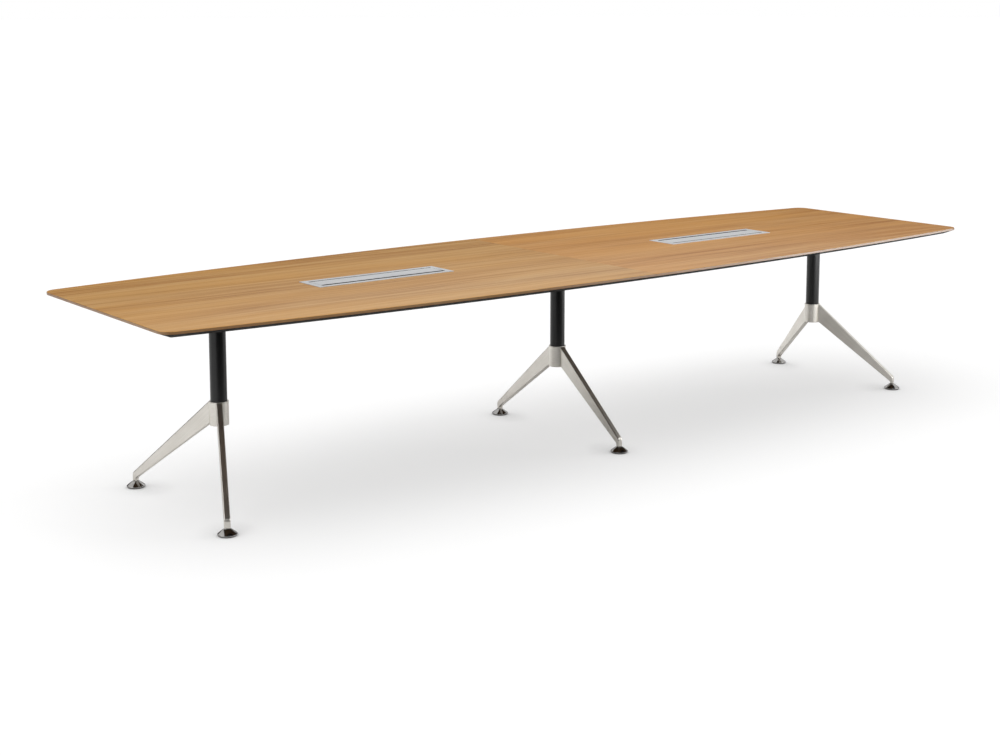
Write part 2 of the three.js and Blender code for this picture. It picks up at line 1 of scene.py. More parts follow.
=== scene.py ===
import json
import math
import bmesh
import bpy
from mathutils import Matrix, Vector

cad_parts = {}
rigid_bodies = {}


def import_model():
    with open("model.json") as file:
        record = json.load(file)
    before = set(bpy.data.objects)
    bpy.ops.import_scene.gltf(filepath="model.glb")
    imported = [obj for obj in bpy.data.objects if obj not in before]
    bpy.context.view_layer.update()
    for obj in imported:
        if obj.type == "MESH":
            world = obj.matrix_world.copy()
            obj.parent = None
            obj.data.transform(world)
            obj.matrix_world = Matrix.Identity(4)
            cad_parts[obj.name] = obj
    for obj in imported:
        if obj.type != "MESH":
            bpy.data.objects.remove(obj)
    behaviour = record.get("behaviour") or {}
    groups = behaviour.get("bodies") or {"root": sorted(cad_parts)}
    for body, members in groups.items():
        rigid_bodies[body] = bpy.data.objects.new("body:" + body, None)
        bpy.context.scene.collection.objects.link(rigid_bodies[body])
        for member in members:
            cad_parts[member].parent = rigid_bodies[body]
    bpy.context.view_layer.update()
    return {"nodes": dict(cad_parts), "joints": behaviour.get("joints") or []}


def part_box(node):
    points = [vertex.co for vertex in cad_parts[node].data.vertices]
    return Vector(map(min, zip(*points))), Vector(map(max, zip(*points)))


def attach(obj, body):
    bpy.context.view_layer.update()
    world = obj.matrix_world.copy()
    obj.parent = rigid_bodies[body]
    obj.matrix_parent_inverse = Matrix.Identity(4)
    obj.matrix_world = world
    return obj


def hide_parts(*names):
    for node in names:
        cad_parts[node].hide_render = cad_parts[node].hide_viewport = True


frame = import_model()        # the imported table, one object for each node

mm = 0.001
pedestals = ("left", "middle", "right")
rows = ("front", "back")
sideTurns = (("right", 0), ("left", math.pi))        # the left side is the right one turned half round


# Shader maths

class Wire:        # one output socket, so that shader maths reads as plain sums
    def __init__(self, socket):
        self.socket = socket

    @staticmethod
    def node(tree, kind, settings=None, inputs=None, out=0):
        made = tree.nodes.new(kind)
        for name, value in (settings or {}).items():
            if name == "stops":
                while len(made.color_ramp.elements) < len(value):
                    made.color_ramp.elements.new(1)
                for stop, (place, colour) in zip(made.color_ramp.elements, value):
                    stop.position = place
                    stop.color = colour
            else:
                setattr(made, name, value)
        for name, value in (inputs or {}).items():
            if isinstance(value, Wire):
                tree.links.new(value.socket, made.inputs[name])
            else:
                made.inputs[name].default_value = value
        return Wire(made.outputs[out])

    def sum(self, operation, first, second):
        tree = self.socket.id_data
        return Wire.node(tree, "ShaderNodeMath", {"operation": operation}, {0: first, 1: second})

    def __add__(self, other):
        return self.sum("ADD", self, other)

    def __radd__(self, other):
        return self.sum("ADD", other, self)

    def __sub__(self, other):
        return self.sum("SUBTRACT", self, other)

    def __rsub__(self, other):
        return self.sum("SUBTRACT", other, self)

    def __mul__(self, other):
        return self.sum("MULTIPLY", self, other)

    def __rmul__(self, other):
        return self.sum("MULTIPLY", other, self)

    def __gt__(self, other):
        return self.sum("GREATER_THAN", self, other)

    def __lt__(self, other):
        return self.sum("LESS_THAN", self, other)

    def __abs__(self):
        return self.sum("ABSOLUTE", self, 0)


def paint(red, green, blue):        # screen values 0 to 255, as a shader's colour
    def linear(value):        # the usual curve of screen colours
        share = value / 255
        return share / 12.92 if share <= 0.04045 else ((share + 0.055) / 1.055) ** 2.4
    return (linear(red), linear(green), linear(blue), 1)


def grey(share):
    return (share, share, share, 1)


def newFinish(name, constants):
    material = bpy.data.materials.new(name)
    material.use_nodes = True
    shader = material.node_tree.nodes["Principled BSDF"]
    for socket, value in constants.items():
        shader.inputs[socket].default_value = value
    return material, material.node_tree, shader


def feed(shader, socket, wire):
    shader.id_data.links.new(wire.socket, shader.inputs[socket])


def vectorMaths(operation, first, second):
    tree = first.socket.id_data
    return Wire.node(tree, "ShaderNodeVectorMath", {"operation": operation}, {0: first, 1: second})


def place(tree, turn=0, centre=(0, 0, 0), tip=0):        # object coordinates, centred, turned and tipped
    spot = Wire.node(tree, "ShaderNodeTexCoord", out="Object")
    if any(centre):
        spot = vectorMaths("SUBTRACT", spot, centre)
    for rotation in ((0, 0, -turn), (0, -tip, 0)):
        if any(rotation):
            spot = Wire.node(tree, "ShaderNodeMapping", None, {"Vector": spot, "Rotation": rotation})
    return spot


def axes(vector):
    split = Wire.node(vector.socket.id_data, "ShaderNodeSeparateXYZ", inputs={0: vector}).socket.node
    return [Wire(output) for output in split.outputs]


def joined(tree, x=0, y=0, z=0):
    return Wire.node(tree, "ShaderNodeCombineXYZ", inputs={0: x, 1: y, 2: z})


def noise(vector, by, detail=2, roughness=0.5):        # by is one scale, or three that stretch it
    stretch = by if isinstance(by, tuple) else (by, by, by)
    inputs = {"Vector": vectorMaths("MULTIPLY", vector, stretch), "Scale": 1}
    inputs.update({"Detail": detail, "Roughness": roughness})
    return Wire.node(vector.socket.id_data, "ShaderNodeTexNoise", {"noise_dimensions": "3D"}, inputs, "Fac")


def ramp(wire, stops):
    return Wire.node(wire.socket.id_data, "ShaderNodeValToRGB", {"stops": stops}, {"Fac": wire}, "Color")


def twoTone(wire, deep, light, stops=(0.3, 0.7)):        # noise runs from about 0.3 to 0.7
    return ramp(wire, list(zip(stops, (deep, light))))


def mixed(share, first, second):        # share of the first, and the rest of the second
    return first * share + second * (1 - share)


def blendColour(factor, first, second, mode="MIX"):
    settings = {"data_type": "RGBA", "blend_type": mode}
    return Wire.node(factor.socket.id_data, "ShaderNodeMix", settings, {0: factor, 6: first, 7: second}, 2)


def blendVector(factor, first, second):
    settings = {"data_type": "VECTOR"}
    return Wire.node(factor.socket.id_data, "ShaderNodeMix", settings, {0: factor, 4: first, 5: second}, 1)


def span(wire, fromLow, fromHigh, toLow, toHigh):
    inputs = {"Value": wire, "From Min": fromLow, "From Max": fromHigh, "To Min": toLow, "To Max": toHigh}
    return Wire.node(wire.socket.id_data, "ShaderNodeMapRange", {"clamp": True}, inputs)


def bump(height, strength, distance):
    inputs = {"Height": height, "Strength": strength, "Distance": distance}
    return Wire.node(height.socket.id_data, "ShaderNodeBump", None, inputs, "Normal")


# Finishes. A pattern is its noise's scale, detail and roughness; a relief is its bump's strength and depth

oakSet = {
    "tones": ((0.26, paint(150, 98, 46)), (0.42, paint(183, 133, 76)),
              (0.55, paint(201, 155, 96)), (0.76, paint(214, 174, 118))),
    "honey": paint(212, 156, 79), "honeyFrom": (0.4, 0.65), "honeyMost": 0.45,
    "rightTint": (1.06, 0.98, 0.9, 1),
    "pore": paint(118, 76, 38), "poreFrom": (0.62, 0.74), "poreMost": 0.3,
    "gloss": 0.02, "rough": 0.1, "streakRough": 0.06, "poreRough": 0.3,
    "edgePaintedShade": 0.6, "edgeCoat": 0.9, "edgeCoatRough": 0.3, "edgeCoatIOR": 1.8,
    "lippingFrom": 1.2 * mm, "endLipping": 0.02, "seamShift": (9.7, 4.3, 2.1),
    "wander": ((0.9, 1.7, 1.7), 1), "wanderMost": 0.05, "hues": ((0.7, 5, 5), 2),
    "bands": ((0.5, 11, 11), 2), "wisps": ((1.7, 44, 44), 3, 0.6), "streaks": ((1.3, 150, 150), 3, 0.6),
    "fibres": ((6, 600, 600), 2, 0.6), "pores": ((45, 1500, 1500), 1),
    "bandTone": 0.45, "wispTone": 0.5, "streakTone": 0.45, "fibreTone": 0.3, "toneDrop": 0.35,
    "fibreRelief": 0.6, "relief": (0.15, 0.2 * mm),
}


def oakVeneer():        # straight grain that breaks at the seam; the end lipping's runs along its edge, and the lipping's colour is darkened towards the pore colour as painted shade
    material, tree, shader = newFinish("oakVeneer", {
        "Specular IOR Level": oakSet["gloss"],
        "Coat Roughness": oakSet["edgeCoatRough"], "Coat IOR": oakSet["edgeCoatIOR"],
    })
    spot = place(tree)
    x, y, z = axes(spot)
    half = x > 0
    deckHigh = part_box("deck_right")[1]
    edge = z < deckHigh.z - oakSet["lippingFrom"]
    end = edge * (abs(x) > deckHigh.x - oakSet["endLipping"])
    grain = vectorMaths("ADD", spot, joined(tree, *[half * step for step in oakSet["seamShift"]]))
    grain = blendVector(end, grain, joined(tree, y, z, x))
    wander = noise(grain, *oakSet["wander"]) * oakSet["wanderMost"]
    grain = vectorMaths("ADD", grain, joined(tree, y=wander))
    bands, wisps, streaks, fibres, pores, hues = [
        noise(grain, *oakSet[pattern])
        for pattern in ("bands", "wisps", "streaks", "fibres", "pores", "hues")]
    tone = (bands * oakSet["bandTone"] + wisps * oakSet["wispTone"] + streaks * oakSet["streakTone"]
            + fibres * oakSet["fibreTone"] - oakSet["toneDrop"])
    honey = span(hues, *oakSet["honeyFrom"], 0, oakSet["honeyMost"])
    colour = blendColour(honey, ramp(tone, oakSet["tones"]), oakSet["honey"])
    colour = blendColour(half, colour, oakSet["rightTint"], "MULTIPLY")        # the right half is warmer
    poreDark = span(pores, *oakSet["poreFrom"], 0, oakSet["poreMost"])
    # painted shade: the lipping's colour is darkened towards the pore colour
    feed(shader, "Base Color", blendColour(poreDark + edge * oakSet["edgePaintedShade"], colour, oakSet["pore"]))
    rough = oakSet["rough"] + streaks * oakSet["streakRough"] + poreDark * oakSet["poreRough"]
    feed(shader, "Roughness", rough)
    feed(shader, "Coat Weight", edge * oakSet["edgeCoat"])
    feed(shader, "Normal", bump(fibres * oakSet["fibreRelief"] - poreDark, *oakSet["relief"]))
    return material


lacquerSet = {
    "deep": paint(20, 19, 18), "worn": paint(33, 31, 29), "gloss": 0.02,
    "board": paint(128, 106, 86), "boardDark": paint(104, 84, 66), "boardSkin": 0.2 * mm,
    "peel": (420, 2), "cloud": (6, 3), "flakes": ((160, 260, 260), 3, 0.7), "flakeShare": 0.6,
    "rough": 0.5, "cloudRough": 0.16, "boardRough": 0.15, "relief": (0.12, 0.15 * mm),
}


def blackLacquer():        # matt black bevel with faint orange peel; the underside is brown backing board
    material, tree, shader = newFinish("blackLacquer", {"Specular IOR Level": lacquerSet["gloss"]})
    spot = place(tree)
    under = axes(spot)[2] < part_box("core_right")[0].z + lacquerSet["boardSkin"]
    peel, cloud, flakes = [noise(spot, *lacquerSet[pattern]) for pattern in ("peel", "cloud", "flakes")]
    black = twoTone(cloud, lacquerSet["deep"], lacquerSet["worn"])
    speckle = mixed(lacquerSet["flakeShare"], flakes, cloud)
    board = twoTone(speckle, lacquerSet["boardDark"], lacquerSet["board"])
    feed(shader, "Base Color", blendColour(under, black, board))
    rough = lacquerSet["rough"] + cloud * lacquerSet["cloudRough"] + under * lacquerSet["boardRough"]
    feed(shader, "Roughness", rough)
    feed(shader, "Normal", bump(peel + under * flakes, *lacquerSet["relief"]))
    return material


powderSet = {
    "deep": paint(10, 10, 11), "light": paint(21, 21, 22), "gloss": 0.5, "rough": 0.2, "textureRough": 0.2,
    "texture": (900, 3, 0.6), "cloud": (14, 2), "textureShare": 0.6, "relief": (0.2, 0.1 * mm),
}


def blackPowderCoat():        # fine even texture, in its colour, its roughness and its surface
    material, tree, shader = newFinish("blackPowderCoat", {"Specular IOR Level": powderSet["gloss"]})
    spot = place(tree)
    texture = noise(spot, *powderSet["texture"])
    tone = mixed(powderSet["textureShare"], texture, noise(spot, *powderSet["cloud"]))
    feed(shader, "Base Color", twoTone(tone, powderSet["deep"], powderSet["light"]))
    feed(shader, "Roughness", powderSet["rough"] + texture * powderSet["textureRough"])
    feed(shader, "Normal", bump(texture, *powderSet["relief"]))
    return material


nickelSet = {
    "shade": paint(212, 208, 199), "light": paint(236, 232, 225), "rough": 0.26, "brushRough": 0.16,
    "along": ((7, 700, 700), 3, 0.6), "round": ((40, 40, 900), 3, 0.6), "cloud": (9, 2), "brushShare": 0.55,
    "relief": (0.12, 0.06 * mm),
}


def satinNickel(name, brushing, centre, turn=0, tip=0):        # brushed along a leg, or round a hub
    material, tree, shader = newFinish(name, {"Metallic": 1})
    spot = place(tree, turn, centre, tip)
    brush = noise(spot, *nickelSet[brushing])
    tone = mixed(nickelSet["brushShare"], brush, noise(spot, *nickelSet["cloud"]))
    feed(shader, "Base Color", twoTone(tone, nickelSet["shade"], nickelSet["light"]))
    feed(shader, "Roughness", nickelSet["rough"] + brush * nickelSet["brushRough"])
    feed(shader, "Normal", bump(brush, *nickelSet["relief"]))
    return material


chromeSet = {
    "shade": paint(152, 150, 148), "light": paint(176, 174, 172),
    "haze": ((60, 60, 90), 3), "hazeFrom": (0.35, 0.7), "rough": (0.05, 0.13),
}


def polishedChrome():        # mirror bright with a little haze
    material, tree, shader = newFinish("polishedChrome", {"Metallic": 1})
    haze = noise(place(tree), *chromeSet["haze"])
    feed(shader, "Base Color", twoTone(haze, chromeSet["shade"], chromeSet["light"]))
    feed(shader, "Roughness", span(haze, *chromeSet["hazeFrom"], *chromeSet["rough"]))
    return material


aluminiumSet = {
    "shade": paint(192, 194, 197), "light": paint(228, 229, 230), "inside": paint(30, 30, 32),
    "rough": 0.26, "brushRough": 0.2, "brush": ((5, 900, 900), 3, 0.65), "cloud": ((4, 12, 12), 2),
    "brushShare": 0.7, "relief": (0.1, 0.05 * mm), "rim": 0.25 * mm,
}


def brushedAluminium(name, paintedShadePart):        # long brush lines, and a near-black painted shade on the faces that the mask picks
    material, tree, shader = newFinish(name, {"Metallic": 1})
    spot = place(tree)
    brush = noise(spot, *aluminiumSet["brush"])
    tone = mixed(aluminiumSet["brushShare"], brush, noise(spot, *aluminiumSet["cloud"]))
    bright = twoTone(tone, aluminiumSet["shade"], aluminiumSet["light"])
    # painted shade: the masked faces in and beside the slots take the near-black inside colour
    feed(shader, "Base Color", blendColour(paintedShadePart(spot), bright, aluminiumSet["inside"]))
    feed(shader, "Roughness", aluminiumSet["rough"] + brush * aluminiumSet["brushRough"])
    feed(shader, "Normal", bump(brush, *aluminiumSet["relief"]))
    return material


def bezelInside(spot):        # the faces that go down through the top round the opening, where the shade in the slot is painted
    x, y, z = axes(spot)
    low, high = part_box("right_box_tray")
    middleX, halfX = (low.x + high.x) / 2, (high.x - low.x) / 2
    across = (abs(abs(x) - middleX) < halfX) * (abs(y) < high.y)
    return across * (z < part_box("right_box_rail_slot")[1].z - aluminiumSet["rim"])


def lidEdges(spot):        # the long edges beside the slot and over the heel, on either lid, where the shade in the slot is painted
    x, y, z = axes(spot)
    low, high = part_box("right_box_lid")
    rim = aluminiumSet["rim"]
    turned = y * (2 * (x > 0) - 1)
    edges = (turned > high.y - rim) + (turned < low.y + rim)
    return edges * (z < high.z - rim)


zincSet = {
    "shade": paint(150, 150, 152), "light": paint(186, 184, 176), "stops": (0.25, 0.75),
    "spangle": (180, 180, 180), "cast": (25, 2), "spangleShare": 0.4, "rough": 0.28, "spangleRough": 0.16,
}


def zincSteel():        # bright zinc with a faint spangle and yellow cast
    material, tree, shader = newFinish("zincSteel", {"Metallic": 1})
    spot = place(tree)
    cells = {"Vector": vectorMaths("MULTIPLY", spot, zincSet["spangle"]), "Scale": 1}
    spangle = Wire.node(tree, "ShaderNodeTexVoronoi", None, cells, "Color")
    spangle = Wire.node(tree, "ShaderNodeRGBToBW", None, {0: spangle})
    tone = mixed(zincSet["spangleShare"], spangle, noise(spot, *zincSet["cast"]))
    feed(shader, "Base Color", twoTone(tone, zincSet["shade"], zincSet["light"], zincSet["stops"]))
    feed(shader, "Roughness", zincSet["rough"] + spangle * zincSet["spangleRough"])
    return material


nylonSet = {
    "deep": paint(17, 17, 18), "light": paint(27, 27, 28), "gloss": 0.35, "rough": 0.5, "grainRough": 0.25,
    "grain": (1500, 2), "mottle": (40, 2), "relief": (0.2, 0.1 * mm),
}


def blackNylon():        # moulded, matt and very slightly mottled
    material, tree, shader = newFinish("blackNylon", {"Specular IOR Level": nylonSet["gloss"]})
    spot = place(tree)
    grain = noise(spot, *nylonSet["grain"])
    feed(shader, "Base Color", twoTone(noise(spot, *nylonSet["mottle"]), nylonSet["deep"], nylonSet["light"]))
    feed(shader, "Roughness", nylonSet["rough"] + grain * nylonSet["grainRough"])
    feed(shader, "Normal", bump(grain, *nylonSet["relief"]))
    return material


# Each finish goes with its slot in the record
oak = (oakVeneer(), "oak_veneer")
lacquer = (blackLacquer(), "black_lacquer")
powder = (blackPowderCoat(), "black_powder_coat")
chrome = (polishedChrome(), "polished_chrome")
bezelAluminium = (brushedAluminium("bezelAluminium", bezelInside), "brushed_aluminium")
lidAluminium = (brushedAluminium("lidAluminium", lidEdges), "brushed_aluminium")
zinc = (zincSteel(), "zinc_steel")
nylon = (blackNylon(), "black_nylon")
print("finishes made:", len(bpy.data.materials))

for pedestal in pedestals:        # the tie bolts keep their own shape
    bolt = frame["nodes"][pedestal + "_tie_bolt"]
    bolt.data.materials.clear()
    bolt.data.materials.append(zinc[0])

# Modelling steps, as by hand: everything is deselected first, and what is shaped is picked by its place

benchSet = {"near": 1e-5, "merge": 1e-6, "melt": 0.5, "facing": 0.9}
lengthways = (0, math.pi / 2, 0)        # lays a rod along the table
upright = (math.pi / 2, 0, 0)        # stands a card up along the table


def deselectAll():
    bpy.ops.object.select_all(action="DESELECT")


def selectOnly(piece):
    deselectAll()
    piece.select_set(True)
    bpy.context.view_layer.objects.active = piece


def settle(name):        # names the new object and puts its place in its mesh
    piece = bpy.context.object
    piece.name = name
    piece.data.name = name
    bpy.ops.object.transform_apply(location=True, rotation=True, scale=True)
    return piece


def discard(*sources):
    for source in sources:
        bpy.data.objects.remove(source)


def startEdit(piece):
    bpy.ops.object.mode_set(mode="EDIT")
    return piece


def endEdit():
    bpy.ops.object.mode_set(mode="OBJECT")


def startBlock(name, low, high):
    deselectAll()
    size = [top - bottom for bottom, top in zip(low, high)]
    middle = [(top + bottom) / 2 for bottom, top in zip(low, high)]
    bpy.ops.mesh.primitive_cube_add(size=1, location=middle, scale=size)
    return startEdit(settle(name))


def startRod(name, radius, middle, length, turn=(0, 0, 0), sides=48):
    deselectAll()
    bpy.ops.mesh.primitive_cylinder_add(
        vertices=sides, radius=radius, depth=length, location=middle, rotation=turn)
    return startEdit(settle(name))


def startBare(name):        # an open mesh with nothing in it yet
    deselectAll()
    bpy.ops.mesh.primitive_plane_add(size=mm)
    piece = startEdit(settle(name))
    bpy.ops.mesh.delete(type="VERT")
    return piece


def startPoint(spot):        # one new picked point in the open mesh
    bpy.ops.mesh.select_mode(type="VERT")
    bpy.ops.mesh.primitive_plane_add(size=mm, location=spot)
    bpy.ops.mesh.merge(type="CENTER")


def drawOn(x=0, y=0, z=0):        # a line on from the picked point
    bpy.ops.mesh.extrude_vertices_move(TRANSFORM_OT_translate={"value": (x, y, z)})


def middleOf(item):        # of an edge or a face
    return sum((vert.co for vert in item.verts), Vector()) / len(item.verts)


def near(value, target):
    return abs(value - target) < benchSet["near"]


def looks(face, x=0, y=0, z=0):        # whether a face looks that way
    return face.normal.dot(Vector((x, y, z))) > benchSet["facing"]


def edgeAt(**spot):        # test for edges that lie at the given x, y or z
    return lambda edge: all(
        near(getattr(vert.co, axis), value) for vert in edge.verts for axis, value in spot.items())


def edgeAlong(axis):        # test for edges that run along x, y or z
    others = [other for other in "xyz" if other != axis]
    return lambda edge: all(
        near(getattr(edge.verts[0].co, other), getattr(edge.verts[1].co, other)) for other in others)


def either(*tests):
    return lambda item: any(test(item) for test in tests)


def pick(piece, kind, test):        # kind is VERT, EDGE or FACE
    bpy.ops.mesh.select_mode(type=kind)
    bpy.ops.mesh.select_all(action="DESELECT")
    shape = bmesh.from_edit_mesh(piece.data)
    items = {"VERT": shape.verts, "EDGE": shape.edges, "FACE": shape.faces}[kind]
    for item in items:
        item.select_set(bool(test(item)))
    shape.select_flush_mode()
    bmesh.update_edit_mesh(piece.data)


def cutAcross(axis, value):        # a cut right through the open mesh, square to x, y or z
    normal = [float(axis == other) for other in "xyz"]
    bpy.ops.mesh.select_all(action="SELECT")
    bpy.ops.mesh.bisect(plane_co=[value * part for part in normal], plane_no=normal)


def trim(height, **side):        # cuts the open mesh off level, and closes the cut
    bpy.ops.mesh.select_all(action="SELECT")
    bpy.ops.mesh.bisect(plane_co=(0, 0, height), plane_no=(0, 0, 1), use_fill=True, **side)


def pull(x=0, y=0, z=0):
    bpy.ops.mesh.extrude_region_move(TRANSFORM_OT_translate={"value": (x, y, z)})


def bevelPicked(width, steps):
    bpy.ops.mesh.bevel(offset=width, segments=steps, affect="EDGES")


def cleanUp(flat=False):        # closes seams and points faces outwards; flat also melts needless cuts
    bpy.ops.mesh.select_all(action="SELECT")
    bpy.ops.mesh.remove_doubles(threshold=benchSet["merge"])
    if flat:
        bpy.ops.mesh.dissolve_limited(angle_limit=math.radians(benchSet["melt"]))
        bpy.ops.mesh.select_all(action="SELECT")
    bpy.ops.mesh.normals_make_consistent(inside=False)


def applyModifier(piece, kind, **settings):
    selectOnly(piece)
    modifier = piece.modifiers.new(kind.lower(), kind)
    for name, value in settings.items():
        setattr(modifier, name, value)
    bpy.ops.object.modifier_apply(modifier=modifier.name)


def carve(piece, *cutters):        # cuts the other shapes out of a piece and throws them away
    for cutter in cutters:
        applyModifier(piece, "BOOLEAN", operation="DIFFERENCE", object=cutter, solver="EXACT")
        discard(cutter)


def softEdges(piece, width, steps=2, degrees=30):
    applyModifier(
        piece, "BEVEL", width=width, segments=steps, limit_method="ANGLE",
        angle_limit=math.radians(degrees), use_clamp_overlap=True)


def smooth(piece, degrees=35):        # round stretches shade round, flat faces stay flat
    selectOnly(piece)
    bpy.ops.object.shade_smooth_by_angle(angle=math.radians(degrees))
    applyModifier(piece, "WEIGHTED_NORMAL", keep_sharp=True)
    return piece


def copyPiece(source, name, turn=0, move=(0, 0, 0)):
    selectOnly(source)
    bpy.ops.object.duplicate(linked=False)
    bpy.context.object.rotation_euler.z = turn
    bpy.context.object.location = move
    return settle(name)


def dress(piece, finish, body, *nodes):        # the finish's material, the carrier and the nodes it stands for; the finish's slot is not used
    material, slot = finish
    piece.data.materials.clear()
    piece.data.materials.append(material)
    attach(piece, body)
    if nodes:
        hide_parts(*nodes)


def standIn(source, node, finish, body="table", turn=0, move=(0, 0, 0)):        # a copy in a node's place
    dress(copyPiece(source, node + "_look", turn, move), finish, body, node)


def roundOff(centre, radius, start, end, steps):        # points along an arc of a profile, angles in degrees
    angles = [math.radians(start + (end - start) * step / steps) for step in range(steps + 1)]
    return [(centre[0] + radius * math.cos(angle), centre[1] + radius * math.sin(angle)) for angle in angles]


def turnPiece(name, profile, steps):        # draws a profile of (radius, height) pairs and spins it upright
    piece = startBare(name)
    startPoint((profile[0][0], 0, profile[0][1]))
    for (fromRadius, fromHeight), (toRadius, toHeight) in zip(profile, profile[1:]):
        drawOn(x=toRadius - fromRadius, z=toHeight - fromHeight)
    bpy.ops.mesh.select_all(action="SELECT")
    bpy.ops.mesh.spin(steps=steps, angle=2 * math.pi, center=(0, 0, 0), axis=(0, 0, 1))
    cleanUp()
    endEdit()
    return piece


def middleOfNode(node):
    low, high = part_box(node)
    return (low + high) / 2


def radiusOf(node):
    low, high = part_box(node)
    return (high.x - low.x) / 2


# Levelling feet

footSet = {
    "neck": 12.5 * mm, "rimHeight": 2.5 * mm, "shoulder": 2.5 * mm, "shoulderTurn": 53, "crown": 0.5 * mm,
    "edge": 1 * mm, "studHole": 4.3 * mm, "steps": 72, "flankSteps": 9, "roundSteps": 4,
    "studRadius": 4 * mm, "threadPitch": 1.25 * mm, "threadDepth": 0.75 * mm, "threadSteps": 24,
    "threadSmooth": 25,
}


def footBell():        # a nearly straight cone from the neck out to a low round rim
    low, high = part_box("middle_foot_front_bell")
    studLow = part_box("middle_foot_front_stud")[0].z
    rim = radiusOf("middle_foot_front_bell")
    edge = footSet["edge"]
    steps = footSet["roundSteps"]
    shoulderMiddle = (rim - footSet["shoulder"], low.z + footSet["rimHeight"])
    profile = [(0, low.z)]
    profile += roundOff((rim - edge, low.z + edge), edge, -90, 0, steps)
    profile += roundOff(shoulderMiddle, footSet["shoulder"], 0, footSet["shoulderTurn"], steps)
    flankRadius, flankHeight = profile[-1]
    neckHeight = high.z - edge
    for step in range(1, footSet["flankSteps"]):
        share = step / footSet["flankSteps"]
        radius = flankRadius + (footSet["neck"] - flankRadius) * share
        height = flankHeight + (neckHeight - flankHeight) * share
        profile.append((radius, height + 4 * footSet["crown"] * share * (1 - share)))
    profile += roundOff((footSet["neck"] - edge, neckHeight), edge, 0, 90, steps)
    profile += [(footSet["studHole"], high.z), (footSet["studHole"], studLow), (0, studLow)]
    return smooth(turnPiece("footBell", profile, footSet["steps"]))


def footPad():        # nylon disc with a rounded bottom edge
    low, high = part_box("middle_foot_front_pad")
    radius = radiusOf("middle_foot_front_pad")
    edge = footSet["edge"]
    profile = [(0, low.z)]
    profile += roundOff((radius - edge, low.z + edge), edge, -90, 0, footSet["roundSteps"])
    profile += [(radius, high.z), (0, high.z)]
    return smooth(turnPiece("footPad", profile, footSet["steps"]))


def footStud():        # threaded rod: a ridge wound round and cut off square at both ends
    low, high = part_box("middle_foot_front_stud")
    pitch = footSet["threadPitch"]
    depth = footSet["threadDepth"]
    piece = startBare("footStud")
    startPoint((footSet["studRadius"] - depth, 0, low.z - pitch))
    drawOn(x=depth, z=pitch / 2)
    drawOn(x=-depth, z=pitch / 2)
    endEdit()
    turns = math.ceil((high.z - low.z) / pitch) + 2
    applyModifier(
        piece, "SCREW", angle=2 * math.pi, screw_offset=pitch, iterations=turns, use_merge_vertices=True,
        steps=footSet["threadSteps"], render_steps=footSet["threadSteps"], merge_threshold=benchSet["merge"])
    startEdit(piece)
    cleanUp()
    trim(low.z, clear_inner=True)
    trim(high.z, clear_outer=True)
    cleanUp()
    endEdit()
    return smooth(piece, footSet["threadSmooth"])


def levellingFeet():
    parts = ((footBell(), "_bell", chrome), (footPad(), "_pad", nylon), (footStud(), "_stud", zinc))
    for pedestal in pedestals:
        for row in rows:
            foot = pedestal + "_foot_" + row
            spot = middleOfNode(foot + "_bell")
            for source, part, finish in parts:
                standIn(source, foot + part, finish, foot, move=(spot.x, spot.y, 0))
    discard(*[part[0] for part in parts])


levellingFeet()
print("levelling feet made:", len(pedestals) * len(rows))

# Pedestals: hub, cap, column, top plate, weld and screws

hubSet = {
    "edge": 1.2 * mm, "web": 8 * mm, "step": 1 * mm, "boltHole": 6.3 * mm, "socketGap": 0.3 * mm,
    "steps": 96, "roundSteps": 4, "capDimple": 0.8 * mm, "capDimpleRadius": 9 * mm,
}
columnSet = {"wall": 3 * mm, "plug": 20 * mm}
plateSet = {
    "corner": 24 * mm, "cornerSteps": 8, "edge": 0.6 * mm, "edgeSteps": 2, "edgeOver": 60,
    "holeInset": 20 * mm, "hole": 3.25 * mm,
}
weldSet = {
    "radius": 31 * mm, "thick": 2.6 * mm, "rounds": 84, "sides": 12, "ripple": 0.5 * mm,
    "rippleEvery": 3, "smooth": 60,
}
screwSet = {
    "head": 6.2 * mm, "height": 3.2 * mm, "headSteps": 6, "shank": 2.4 * mm, "grip": 3.8 * mm, "steps": 32,
    "slotLong": 7 * mm, "slotWide": 1.2 * mm, "slotDeep": 1.8 * mm, "slotTaper": 0.6,
    "plateTurn": 0.7, "seamTurn": 0.9,
}


def pedestalHub():        # socket for the column above a web, recess for the bolt head below it
    low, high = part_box("middle_hub")
    outer = radiusOf("middle_hub")
    socket = radiusOf("middle_column") + hubSet["socketGap"]
    recess = socket - hubSet["step"]
    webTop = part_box("middle_column")[0].z
    webLow = webTop - hubSet["web"]
    edge = hubSet["edge"]
    hole = hubSet["boltHole"]
    steps = hubSet["roundSteps"]
    profile = [(hole, webLow), (recess, webLow), (recess, low.z)]
    profile += roundOff((outer - edge, low.z + edge), edge, -90, 0, steps)
    profile += roundOff((outer - edge, high.z - edge), edge, 0, 90, steps)
    profile += [(socket, high.z), (socket, webTop), (hole, webTop), (hole, webLow)]
    return smooth(turnPiece("pedestalHub", profile, hubSet["steps"]))


def hubCap():        # press-in cap with a shallow thumb dimple
    low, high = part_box("middle_hub_cap")
    radius = radiusOf("middle_hub_cap")
    edge = hubSet["edge"]
    dimple = hubSet["capDimpleRadius"]
    dimpleTop = low.z + hubSet["capDimple"]
    profile = [(0, dimpleTop), (dimple, dimpleTop), (dimple + edge, low.z)]
    profile += roundOff((radius - edge, low.z + edge), edge, -90, 0, hubSet["roundSteps"])
    profile += [(radius, high.z), (0, high.z)]
    return smooth(turnPiece("hubCap", profile, hubSet["steps"]))


